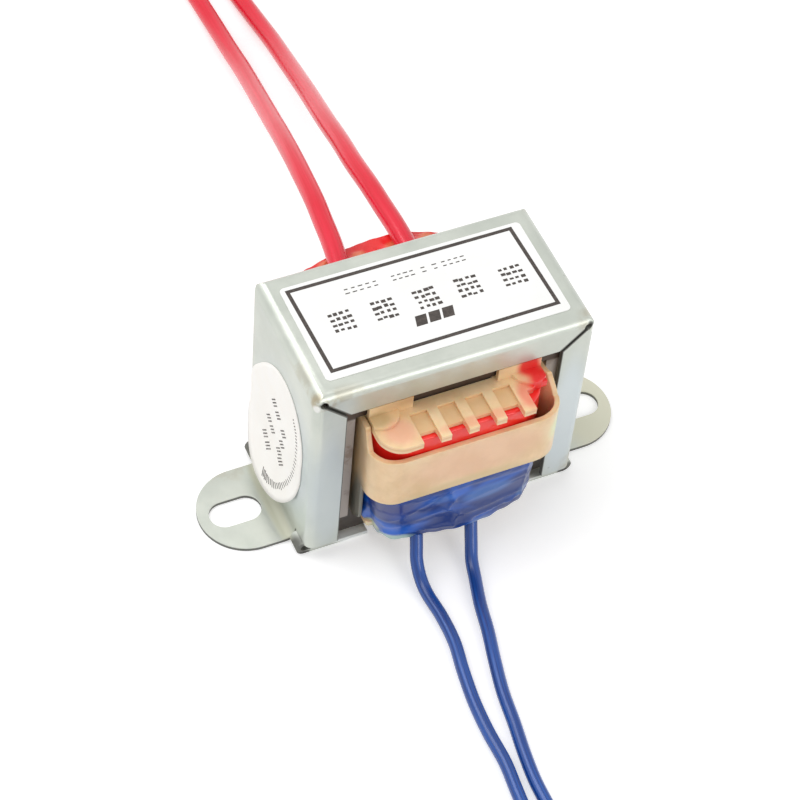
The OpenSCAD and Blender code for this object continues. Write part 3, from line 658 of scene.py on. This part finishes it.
ZINC = zinc_finish()
CORE = core_finish()
CUP_NYLON = nylon_finish("nylon of the secondary bobbin", CUP_ZONES)
COMB_NYLON = nylon_finish("nylon of the primary bobbin", COMB_ZONES)
BLUE_TAPE = tape_finish("blue tape", tint(0, 44, 118), tint(0, 96, 204), BLUE_TAPE_ZONES)
RED_TAPE = tape_finish("red tape", tint(238, 24, 18), tint(250, 46, 36))
COMB_TAPE = tape_finish("red tape over the comb", tint(214, 20, 24), tint(240, 38, 40), COMB_TAPE_ZONES)
INK = clouded_finish("printing ink", 0.5, 0.35, 0.4, tint(58, 51, 47), tint(82, 74, 69),
                     Roughness=0.55)
RED_PVC = insulation_finish("red insulation", tint(222, 12, 42), tint(240, 28, 60))
BLUE_PVC = insulation_finish("blue insulation", tint(4, 50, 122), tint(30, 92, 182))
TINNED = clouded_finish("tinned strands", 0.8, 0.4, 0.3, tint(196, 194, 188), tint(222, 221, 217),
                        Metallic=1.0, Roughness=0.3)
COPPER = copper_finish()
LABEL_PAPER = paper_finish("label paper", tint(247, 247, 245), tint(253, 253, 252))
# the round label's paper glows a little: painted light
ROUND_PAPER = paper_finish("round label paper", tint(248, 245, 239), tint(252, 250, 246), 0.06)


def dress(node, material):
    """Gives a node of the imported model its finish."""
    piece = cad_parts[node]
    for held in piece.material_slots:
        held.material = material
    return piece


def round_edges(piece, width):
    """Joins the loose triangles, makes flat areas whole, and rounds the sharp edges."""
    weld = piece.modifiers.new("joined", "WELD")
    weld.merge_threshold = 0.002 * MM
    flat = piece.modifiers.new("flat areas", "DECIMATE")
    flat.decimate_type = "DISSOLVE"
    flat.angle_limit = math.radians(0.5)
    edge = piece.modifiers.new("rounded edges", "BEVEL")
    edge.width = width * MM
    edge.segments = 2
    edge.limit_method = "ANGLE"
    edge.angle_limit = math.radians(30)
    shade = piece.modifiers.new("even shading", "WEIGHTED_NORMAL")
    shade.keep_sharp = True
    piece.data.polygons.foreach_set("use_smooth", np.full(len(piece.data.polygons), True))


def thicken(piece, thickness, side):
    """Gives a sheet its thickness: outwards for a side of 1, inwards for -1."""
    wall = piece.modifiers.new("thickness", "SOLIDIFY")
    wall.thickness, wall.offset = thickness * MM, side


for leads, insulation in ((red_leads, RED_PVC), (blue_leads, BLUE_PVC)):
    for lead, strands in leads:
        lead.data.materials.append(insulation)
        strands.data.materials.append(TINNED)

round_edges(dress("channel_frame", ZINC), width=0.1)
dress("e_laminations", CORE)
dress("i_laminations", CORE)


# ---- Bobbins ----

def ease(value, start, end):
    """0 before start and 1 after end, with a smooth climb between them; end may be the lesser."""
    share = np.clip((value - start) / (end - start), 0, 1)
    return share * share * (3 - 2 * share)


def reshape_node(node, name, finish, edge, move, cuts=()):
    """Piece in place of a node: the node's shape, joined, cut across at some values of y so that it can bend,
    its points moved by move(x, y, z), and its edges rounded."""
    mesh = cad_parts[node].data.copy()
    mesh.name = name
    work = bmesh.new()
    work.from_mesh(mesh)
    bmesh.ops.remove_doubles(work, verts=work.verts, dist=0.002 * MM)
    bmesh.ops.dissolve_limit(work, angle_limit=math.radians(0.5), verts=work.verts, edges=work.edges)
    for y in cuts:
        bmesh.ops.bisect_plane(work, geom=work.verts[:] + work.edges[:] + work.faces[:],
                               plane_co=(0, y * MM, 0), plane_no=(0, 1, 0))
    work.to_mesh(mesh)
    work.free()
    points = np.empty(len(mesh.vertices) * 3, np.float32)
    mesh.vertices.foreach_get("co", points)
    moved = np.stack(move(*(points.reshape(-1, 3).T.astype(float) / MM)), -1) * MM
    mesh.vertices.foreach_set("co", moved.astype(np.float32).ravel())
    mesh.update()
    piece = add_object(name, mesh)
    mesh.materials.clear()
    round_edges(piece, edge)
    hold(piece, finish, node)


CUP_BULGE = 1.1  # of the cup's right wall, in front of the core


def bulge_cup(x, y, z):
    """The right wall swings out in front of the core, the rim waves a little, and the lower
    flange's left corner hangs out from under its tape."""
    out = CUP_BULGE * ease(y, -9.8, -12.4) * ease(x, 6.0, 10.5) * ease(z, 11.0, 13.6)
    rim = ease(z, 21.0, 21.7) * ease(abs(y), 13.0, 14.4)
    ends = ease(z, 7.0, 6.5) * ease(abs(y), 11.0, 12.5)
    corner = ends * ease(x, -4.0, -8.0) * ease(y, 0, -10)
    return (x * (1 - 0.1 * ends) + out + 0.1 * corner,
            y * (1 - 0.065 * ends),
            z + 0.07 * rim * np.sin(1.9 * x + 0.6) - 0.25 * corner)


def draw_in_coil(x, y, z):
    """The coil's ends taper towards the bottom, where the tape is pulled in."""
    ends = ease(z, 13.0, 7.0) * ease(abs(y), 9.6, 11.2)
    return x * (0.96 - 0.18 * ends), y * (0.97 - 0.11 * ends), z


def draw_in_primary(x, y, z):
    """The primary coil, a little smaller, to leave room for the rounder corners of its tape."""
    return x * 0.95, y * 0.955, z


def sag_comb(x, y, z):
    """The comb sags slightly between its ribs towards its front edge."""
    sag = 0.05 * ease(y, -12.5, -15.2) * np.sin(0.9 * x)
    return x, y, z + sag * ease(z, 23.0, 24.0)


reshape_node("secondary_bobbin", "secondary_bobbin_moulding", CUP_NYLON,
             edge=0.16, move=bulge_cup, cuts=(-9.6, -10.4, -11.0))
reshape_node("secondary_winding", "secondary_coil", COPPER,
             edge=0.1, move=draw_in_coil, cuts=(-9.7, -11.2, 9.7, 11.2))
reshape_node("primary_winding", "primary_coil", COPPER, edge=0.1, move=draw_in_primary)
reshape_node("primary_bobbin", "primary_bobbin_moulding", COMB_NYLON, edge=0.14, move=sag_comb)


# ---- Tapes ----

def round_loop(half_x, half_y, radius, count):
    """Rounded rectangle as evenly spaced points, with their outward directions and their lengths along it:
    four quarter circles, joined by straight runs, then spaced out by length."""
    turn = np.radians(90 * np.arange(4)[:, None] + np.linspace(0, 90, 24))
    ways = np.stack((np.cos(turn), np.sin(turn)), -1)
    middles = np.array(((1, 1), (-1, 1), (-1, -1), (1, -1))) * (half_x - radius, half_y - radius)
    line = (middles[:, None] + radius * ways).reshape(-1, 2)
    line, ways = np.vstack((line, line[:1])), np.vstack((ways.reshape(-1, 2), ways[0, :1]))
    length = lengths_along(line)
    even = np.linspace(0, length[-1], count, endpoint=False)
    at = read_off(even, length, line)
    return at, unit(read_off(even, length, ways)), np.arange(count) * np.linalg.norm(at[1] - at[0])


def folds(u, v, lines):
    """Sum of sharp ridges. Each runs from one point of the (u, v) plane to another, has its size on its
    line, falls off to both sides by its width, and dies out past its ends."""
    u0, v0, u1, v1, size, width = np.array(lines, float).T
    run = np.hypot(u1 - u0, v1 - v0)
    way_u, way_v = (u1 - u0) / run, (v1 - v0) / run
    du, dv = u[..., None] - u0, v[..., None] - v0
    along, off = du * way_u + dv * way_v, np.abs(dv * way_u - du * way_v)
    past = np.clip(np.maximum(-along, along - run), 0, None)
    return (size * np.exp(-off / width) * np.exp(-(past / 0.5) ** 2)).sum(-1)


def scattered_folds(seed, count, reach, low, high, size):
    """Random ridges that run nearly level, for tape pulled tight round a coil."""
    draw = np.random.default_rng(seed)
    x = draw.uniform(-reach, reach, count)
    z = draw.uniform(low, high, count)
    run, tilt = draw.uniform(2, 7, count), draw.normal(0, 0.14, count)
    return np.stack((x - run / 2, z - tilt * run / 2, x + run / 2, z + tilt * run / 2,
                     draw.uniform(-size, size, count), draw.uniform(0.12, 0.5, count)), -1)


def ripple(run, seed):
    """Uneven line: a few sine waves of random length and phase, their sum about 1 high."""
    waves, draw = 9, np.random.default_rng(seed)
    pace, phase = draw.uniform(0.4, 3.2, waves), draw.uniform(0, 6.28, waves)
    return np.sin(run[..., None] * pace + phase).sum(-1) / math.sqrt(waves)


def closed_sleeve(name, finish, node, at, way, rows):
    """Band of tape: rows of (inset from the outline, height), which run down its outside and back up its
    inside, each carried round the outline."""
    inset, height = (np.stack([np.broadcast_to(row[k], len(at)) for row in rows]) for k in (0, 1))
    points = np.concatenate((at[None] - inset[..., None] * way[None], height[..., None]), -1)
    faces = grid_faces(len(rows), len(at), wrap_rows=True, wrap_columns=True)
    hold(make_piece(name, points, [face[::-1] for face in faces]), finish, node)


BLUE_TOP, BLUE_LOW = 13.77, 6.45  # upper edge, and lower edge beside the core
LAP_DROP = 1.4  # how far both ends hang lower, round the flange
BLUE_DEPTH, BLUE_T = 8.77, 0.6  # height of the band at its ends, and its thickness with all its turns
TURN_T, TURN_PITCH = 0.07, 2.3  # going up, each turn of the tape lies a little further in
BLUE_FOLDS_FRONT = np.array((
    (-1.9, 13.2, -1.1, 11, 0.16, 0.3), (-1.1, 11, -2, 9.6, 0.2, 0.3), (-2, 9.6, -0.5, 8.3, 0.24, 0.3),
    (-0.5, 8.3, -1.2, 6.2, 0.22, 0.3), (-9.8, 9.3, -2, 12.6, 0.12, 0.25),
    (-10, 8, -2.6, 9.6, 0.16, 0.5), (-10, 6.6, 1, 6.3, 0.3, 0.3), (8.9, 12.8, 8.4, 7.4, 0.2, 0.2),
    (8.4, 7.4, 6.6, 6.6, 0.3, 0.25), (1, 12.4, 8.4, 12, -0.1, 0.3), (0.2, 10, 8.2, 11.3, 0.14, 0.6),
    (0.4, 7.9, 8.2, 8.2, 0.2, 0.4), (1.2, 6.7, 6.6, 6.9, 0.26, 0.25), (-6, 12.6, 6, 13.2, 0.1, 0.2),
    (9.8, 9, 10.6, 6, 0.2, 0.3)))
BLUE_FOLDS_BACK = scattered_folds(12, 34, 10, 5.6, 13.4, 0.1)


def blue_tape_band():
    """Tape round the secondary coil. Its front bows out in the middle and draws in towards the bottom.
    At both ends it laps round the lower flange with a ragged edge; beside the core it stops above it."""
    at, way, run = round_loop(half_x=11.3, half_y=14.95, radius=3.5, count=520)
    x, y = at.T
    ends = ease(abs(y), 10.2, 11.3)
    left = ends * ease(x, -5.0, -9.0) * ease(y, 0, -10)
    bow = ease(y, -10, -12) * np.exp(-((x - 1.0) / 5.0) ** 2)
    low = BLUE_LOW + ends * (-LAP_DROP + 0.2 * ripple(run, 3)) - 0.1 * left
    turn_r = 0.4
    wall = BLUE_TOP - (BLUE_TOP - low - turn_r) * np.linspace(0, 1, 44)[:, None]
    drop = (BLUE_TOP - wall) / BLUE_DEPTH
    draw_in = drop ** 1.3 * ends * (0.85 * (x / 10.5) ** 2 + 0.05 * left + 0.3 - 0.75 * bow)
    side = ends * np.sign(y)
    front = folds(x, wall, BLUE_FOLDS_FRONT) * (side < 0) + folds(x, wall, BLUE_FOLDS_BACK) * (side > 0)
    turns = TURN_T * np.floor(1 + (wall - 6.2 + 0.25 * ripple(run, 5)) / TURN_PITCH)
    wall_in = 0.12 * ease(wall, 13.2, 13.75) + draw_in + turns - front * abs(side)
    rows = list(zip(wall_in, wall))
    last = wall_in[-1]
    for angle in np.radians(np.linspace(15, 90, 6)):
        rows.append((last + turn_r * (1 - math.cos(angle)), low + turn_r * (1 - math.sin(angle))))
    for inward in (0.8, 1.3, 1.8):
        rows.append((last + inward, low + 0.06 * ripple(run, 7) + 0.05))
    rows += [(last + 1.85, low + 0.35), (last + 0.9, low + 0.5)]
    rows += [(BLUE_T + draw_in[20], 9.0), (BLUE_T, BLUE_TOP)]
    closed_sleeve("secondary_tape_wrap", BLUE_TAPE, "secondary_tape", at, way, rows)


RED_TOP, RED_LOW, RED_T = 24.08, 15.3, 0.5
RED_FOLDS = np.vstack((scattered_folds(31, 22, 10, 16.5, 23.6, 0.05), (
    (4.6, 23.6, 7.4, 22.2, 0.16, 0.25), (5.4, 23.9, 8.6, 23, 0.14, 0.2),
    (3.2, 22.6, 6.8, 21.9, -0.1, 0.25), (-3, 23.8, -1.4, 23.2, 0.1, 0.2))))


def red_tape_band():
    """Tape round the primary coil, pulled smooth, its upper edge turned in over the coil and ragged there."""
    at, way, run = round_loop(half_x=11.1, half_y=14.15, radius=4.6, count=420)
    x, y = at.T
    turn_r = 0.3
    wall = RED_LOW + (RED_TOP - turn_r - RED_LOW) * np.linspace(1, 0, 30)[:, None]
    ends = abs(y) > 11
    bulge = 0.25 * np.sin(np.pi * (wall - RED_LOW) / (RED_TOP - RED_LOW)) * ends * np.cos(x / 7) ** 2
    wall_in = -bulge - folds(x, wall, RED_FOLDS) * ends + 0.02 * ripple(run, 21)
    first = wall_in[0]
    ragged = 0.3 * ripple(run, 23)
    rows = [(RED_T + first, RED_LOW), (RED_T + first, RED_TOP - 0.5), (first + 2.1 + ragged, RED_TOP - 0.14),
            (first + 2.15 + ragged, RED_TOP), (first + 1.2, RED_TOP + 0.005), (first + 0.6, RED_TOP + 0.005)]
    for angle in np.radians(np.linspace(90, 15, 6)):
        rows.append((first + turn_r * (1 - math.cos(angle)), RED_TOP - turn_r * (1 - math.sin(angle))))
    rows += list(zip(wall_in, wall))
    closed_sleeve("primary_tape_wrap", RED_TAPE, "primary_tape", at, way, rows)


COMB_TAPE_END = (
    (-10.4, 13.9), (-8, 14.7), (-6.1, 15.3), (-3.6, 15.8), (0, 16.2), (2.5, 16.2), (5.3, 15.7),
    (7.4, 14.8), (9.8, 13.7))
COMB_TAPE_FOLDS = (
    (-9, 12.6, -6.4, 14.4, 0.12, 0.3), (-3.4, 12.2, -1, 15.2, 0.1, 0.3), (0.6, 12.2, -0.4, 15.4, 0.1, 0.3),
    (5, 12.4, 6.8, 14.4, 0.12, 0.3), (8.8, 12.2, 5.6, 14.6, 0.1, 0.3), (-8.8, 13.6, -4, 14.9, 0.1, 0.3))
COMB_TAPE_START = 10.35  # where the sheet starts, at the frame
COMB_TAPE_Z, COMB_TAPE_T = 25.4, 0.2  # height of the sheet on the comb, and its thickness
BUNDLE_H, HUMP_H = 2.1, 0.55  # height of the bundle, and of the hump over each lead
LEAD_X = (-5.9, 3.4)  # where the red leads lie in the bundle
TONGUE_PITCH = 4.5  # the sheet lies higher on each tongue of the comb


def comb_tape_sheet():
    """Sheet of tape over the comb behind. It starts at the frame as a bundle with a hump over each lead,
    drops to the comb, and ends in an arc behind the comb, where its edge turns down."""
    x = np.linspace(-10.2, 9.8, 150)[None, :]
    share = np.concatenate((np.linspace(0, 0.42, 34), np.linspace(0.43, 1, 40)))[:, None]
    end = np.interp(x, *np.array(COMB_TAPE_END).T)
    y = COMB_TAPE_START + (end - COMB_TAPE_START) * share
    humps = sum(np.exp(-((x - lead_x) / 1.5) ** 4) for lead_x in LEAD_X)
    body = ease(abs(x + 0.3), 8.6, 7.2)
    bundle = ease(y + 0.25 * np.sin(2.1 * x), 11.9, 11.1) * body * (BUNDLE_H + HUMP_H * humps)
    off_tongue = x % TONGUE_PITCH - TONGUE_PITCH / 2
    tongues = 0.12 * np.exp(-(off_tongue / 1.1) ** 4) * ease(y, 14.9, 14.4)
    turn_down = -0.9 * ease(share, 0.97, 1.0) * ease(abs(x), 9.5, 6)
    waves = folds(x, y, COMB_TAPE_FOLDS) + 0.03 * np.sin(3 * x + 2 * y)
    z = COMB_TAPE_Z + tongues + bundle + waves + turn_down
    points = np.stack(np.broadcast_arrays(x, y, z), -1)
    piece = make_piece("lead_tape_sheet", points, grid_faces(*z.shape))
    thicken(piece, COMB_TAPE_T, side=-1)
    hold(piece, COMB_TAPE, "lead_tape")


blue_tape_band()
red_tape_band()
comb_tape_sheet()


# ---- Labels ----

ROUND_LABEL_EDGE = (
    (6.6, 19.7), (4.2, 22.6), (0.8, 25.1), (-2.4, 25.3), (-5, 23.7), (-6.3, 21.2), (-6.9, 15.1),
    (-6.4, 10.4), (-5.2, 6.9), (-3.4, 4.5), (-1.3, 3.4), (1.2, 3), (4.6, 3.3), (7.6, 5.2), (9, 8.4),
    (9.2, 14))
ROUND_LABEL_MIDDLE = (0.6, 14.2)
PAPER_LIFT, PAPER_T, PRINT_LIFT = 0.03, 0.07, 0.115
BEND_X, BEND_Y, BEND_R = -17.0, 8.7, 1.2  # middle and radius of the frame's bend behind the label


def on_round_label(y, z, lift):
    """Place on the label for a point of the side wall. It stands off by its lift, and round the bend behind.
    Below it leans out over the bend of the foot, as the way down to the power of 2.2."""
    lean = 1.6 * np.clip((12 - z) / 9, 0, None) ** 2.2
    over = np.clip(y - BEND_Y, 0, None) / 1.3
    radius = BEND_R + lift + lean
    return np.stack((BEND_X - radius * np.cos(over), np.minimum(y, BEND_Y) + radius * np.sin(over), z), -1)


def round_label():
    """Disc of paper: rings at even shares of the way from its middle to its edge, which is smoothed."""
    rings, spokes = 16, 120
    edge = np.array(ROUND_LABEL_EDGE) - ROUND_LABEL_MIDDLE
    angle, reach = np.arctan2(edge[:, 1], edge[:, 0]), np.hypot(*edge.T)
    order = np.argsort(angle)
    turn = np.linspace(-np.pi, np.pi, spokes, endpoint=False)
    outline = np.interp(turn, angle[order], reach[order], period=2 * np.pi)
    spread = np.exp(-(np.arange(-8, 9) / 3.5) ** 2)
    outline = np.convolve(np.tile(outline, 3), spread / spread.sum(), "same")[spokes:2 * spokes]
    away = np.linspace(0.02, 1, rings)[:, None] * outline
    points = on_round_label(ROUND_LABEL_MIDDLE[0] + away * np.cos(turn),
                            ROUND_LABEL_MIDDLE[1] + away * np.sin(turn), PAPER_LIFT)
    faces = grid_faces(rings, spokes, wrap_columns=True) + [list(range(spokes))[::-1]]
    piece = make_piece("round_label_paper", points, faces)
    thicken(piece, PAPER_T, side=1)
    hold(piece, ROUND_PAPER, "round_label")


def bars(middles, lengths, widths, turns):
    """Flat rectangles as corner points: each has its middle, length, width and turn in degrees."""
    middles = np.array(middles, float).reshape(-1, 2)
    turns = np.radians(np.broadcast_to(turns, len(middles)))
    half = np.array(((-1, -1), (1, -1), (1, 1), (-1, 1))) / 2
    size = np.stack((np.broadcast_to(lengths, len(middles)), np.broadcast_to(widths, len(middles))), -1)
    a, b = np.moveaxis(half[None] * size[:, None], -1, 0)
    cos, sin = np.cos(turns)[:, None], np.sin(turns)[:, None]
    return middles[:, None] + np.stack((a * cos - b * sin, a * sin + b * cos), -1)


def print_on(name, quads, lay):
    """Thin printed shapes: flat four-cornered patches laid on a surface by lay(a, b)."""
    corners = np.concatenate(quads).reshape(-1, 2)
    points = lay(corners[:, 0], corners[:, 1])
    faces = np.arange(len(points)).reshape(-1, 4).tolist()
    hold(make_piece(name, points, faces, smooth=False), INK)


RATING_PRINT_HEIGHT = 31.5502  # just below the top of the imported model's label


def rating_print():
    """Plain shapes in place of print: a border, two rows of short dashes, five grids of dashes, and three
    leaning bars."""
    outer = np.array(((-15.2, 7.0), (14.6, 7.0), (14.9, -6.3), (-14.9, -6.5)))
    inner = outer + np.array(((0.5, -0.5), (-0.5, -0.5), (-0.5, 0.5), (0.5, 0.5)))
    border = np.stack((outer, inner, np.roll(inner, -1, axis=0), np.roll(outer, -1, axis=0)), axis=1)
    draw = np.random.default_rng(8)
    dash_x = np.concatenate([np.linspace(*run) for run in (
        (-8.3, -4.6, 5), (-2.2, 0.2, 4), (1.7, 3.2, 2), (4.4, 6.9, 4))])
    dashes = bars([(x, 4.4 + row) for x in dash_x for row in (0.32, -0.32)],
                  draw.uniform(0.4, 0.62, 2 * len(dash_x)), 0.16, 0)
    grids = []
    for middle in ((-10.6, 0.36), (-5.2, 0.3), (0.25, 0.15), (5.65, 0.1), (11.4, -0.2)):
        cells = np.array([(c, r) for r in (1.25, 0.42, -0.42, -1.25) for c in (-1.1, -0.35, 0.4, 1.15)])
        cells += draw.uniform(-0.08, 0.08, cells.shape)
        grids.append(bars(cells + middle, draw.uniform(0.42, 0.66, 16), draw.uniform(0.3, 0.5, 16), 0))
    bold = bars(((-1.75, -2.8), (0.0, -2.75), (1.75, -2.7)), 1.45, 1.55, 0)
    bold[..., 0] += 0.25 * (bold[..., 1] + 2.75)
    print_on("rating_label_print", [border, dashes, *grids, bold],
             lambda a, b: np.stack(np.broadcast_arrays(a, b, RATING_PRINT_HEIGHT), -1))


def round_print():
    """Plain shapes: ten small slanting grids of dashes, and an arc of ticks near the label's front edge."""
    draw = np.random.default_rng(9)
    quads = []
    down, along = np.array((-0.75, -0.66)), np.array((0.66, -0.75))
    cells = np.array([a * down + b * along for a in (-0.42, 0, 0.42) for b in (-0.6, -0.2, 0.2, 0.6)])
    for middle in ((1.5, 18.2), (0.3, 17.1), (2.9, 13.6), (1.8, 12.6), (3.7, 9.6), (2.5, 8.6),
                   (-1.5, 15.6), (-1.2, 13.2), (-0.5, 11.0), (-1.2, 9.8)):
        quads.append(bars(middle + cells, draw.uniform(0.26, 0.36, len(cells)), 0.19, 131))
    arc = np.array(((-4.2, 21.6), (-5.1, 20.1), (-5.5, 18.0), (-5.4, 15.1), (-4.8, 11.8), (-3.8, 8.9),
                    (-2.7, 6.8), (-1.3, 5.4), (0.4, 4.7), (1.8, 4.6)))
    run = np.linspace(0, len(arc) - 1, 38)
    middles = read_off(run, np.arange(len(arc)), arc)
    way = np.degrees(np.arctan2(*np.gradient(middles, axis=0).T[::-1]))
    lengths = np.linspace(0.4, 1.2, len(run)) * draw.uniform(0.7, 1.1, len(run))
    quads.append(bars(middles, lengths, 0.17, way + 75))
    print_on("round_label_print", [quad[:, ::-1] for quad in quads],
             lambda a, b: on_round_label(a, b, PRINT_LIFT))


LABEL_PRESS = 0.006


def press_label(x, y, z):
    """The label's top is a touch lower, so that the print on it stays within the part's height."""
    return x, y, z - LABEL_PRESS * ease(z, 31.5, 31.54)


reshape_node("rating_label", "rating_label_paper", LABEL_PAPER, edge=0.01, move=press_label)
round_label()
rating_print()
round_print()


# ---- Floor, world and lamps ----

def white_when_seen(tree):
    """1 for what the camera sees, itself or in gloss or through glass, and 0 for the light on things."""
    seen = place(tree, "ShaderNodeLightPath").outputs
    mirrored = maths(tree, "MAXIMUM", seen["Is Glossy Ray"], seen["Is Transmission Ray"])
    return maths(tree, "MAXIMUM", seen["Is Camera Ray"], mirrored)


FLOOR_HALF, FLOOR_Z = 1500, -0.05


def lay_floor():
    """Wide pale floor just under the feet, which keeps the shadow. What the camera sees of it glows a little
    near the part, and more from 0.25 to 0.6 m away, so that it shows white."""
    corners = [(x * FLOOR_HALF, y * FLOOR_HALF, FLOOR_Z) for x, y in ((-1, -1), (1, -1), (1, 1), (-1, 1))]
    floor = make_piece("floor", corners, [(0, 1, 2, 3)], smooth=False)
    material = bpy.data.materials.new("pale floor")
    material.use_nodes = True
    tree = material.node_tree
    tree.nodes.remove(tree.nodes["Principled BSDF"])
    matt = place(tree, "ShaderNodeBsdfDiffuse", {"Color": (0.86, 0.86, 0.86, 1)})
    glow = place(tree, "ShaderNodeEmission", {"Color": (1, 1, 1, 1)})
    away = vector_maths(tree, "LENGTH", place(tree, "ShaderNodeTexCoord").outputs["Object"])["Value"]
    level = maths(tree, "MULTIPLY_ADD", fade(tree, away, 0.25, 0.6), 0.6, 0.37)
    tree.links.new(times(tree, white_when_seen(tree), level), glow.inputs["Strength"])
    both = place(tree, "ShaderNodeAddShader", {0: matt.outputs[0], 1: glow.outputs[0]})
    tree.links.new(both.outputs[0], tree.nodes["Material Output"].inputs["Surface"])
    floor.data.materials.append(material)


def light_world(strength):
    """Even white surroundings that show as plain white."""
    world = bpy.data.worlds.new("soft room")
    bpy.context.scene.world = world
    world.use_nodes = True
    tree = world.node_tree
    back = tree.nodes["Background"]
    back.inputs["Color"].default_value = (1, 1, 1, 1)
    seen = white_when_seen(tree)
    level = maths(tree, "ADD", strength, times(tree, seen, 1 - strength))
    tree.links.new(level, back.inputs["Strength"])


def hang_lamp(name, position, aim, size, power):
    """Square soft lamp at a place, turned to a point; both in millimetres."""
    data = bpy.data.lights.new(name, "AREA")
    data.shape = "SQUARE"
    data.size = size * MM
    data.energy = power
    back = unit(np.subtract(position, aim))
    right = unit(np.cross((0, 0, 1), back))
    set_up(add_object(name, data), right, np.cross(back, right), back, position)


lay_floor()
light_world(strength=0.56)
hang_lamp("lamp above", (-210, 150, 480), aim=(0, 0, 15), size=420, power=1.5)
hang_lamp("lamp in front", (135, -370, 265), aim=(0, 0, 15), size=210, power=0.46)

bpy.context.scene.view_settings.view_transform = "Standard"
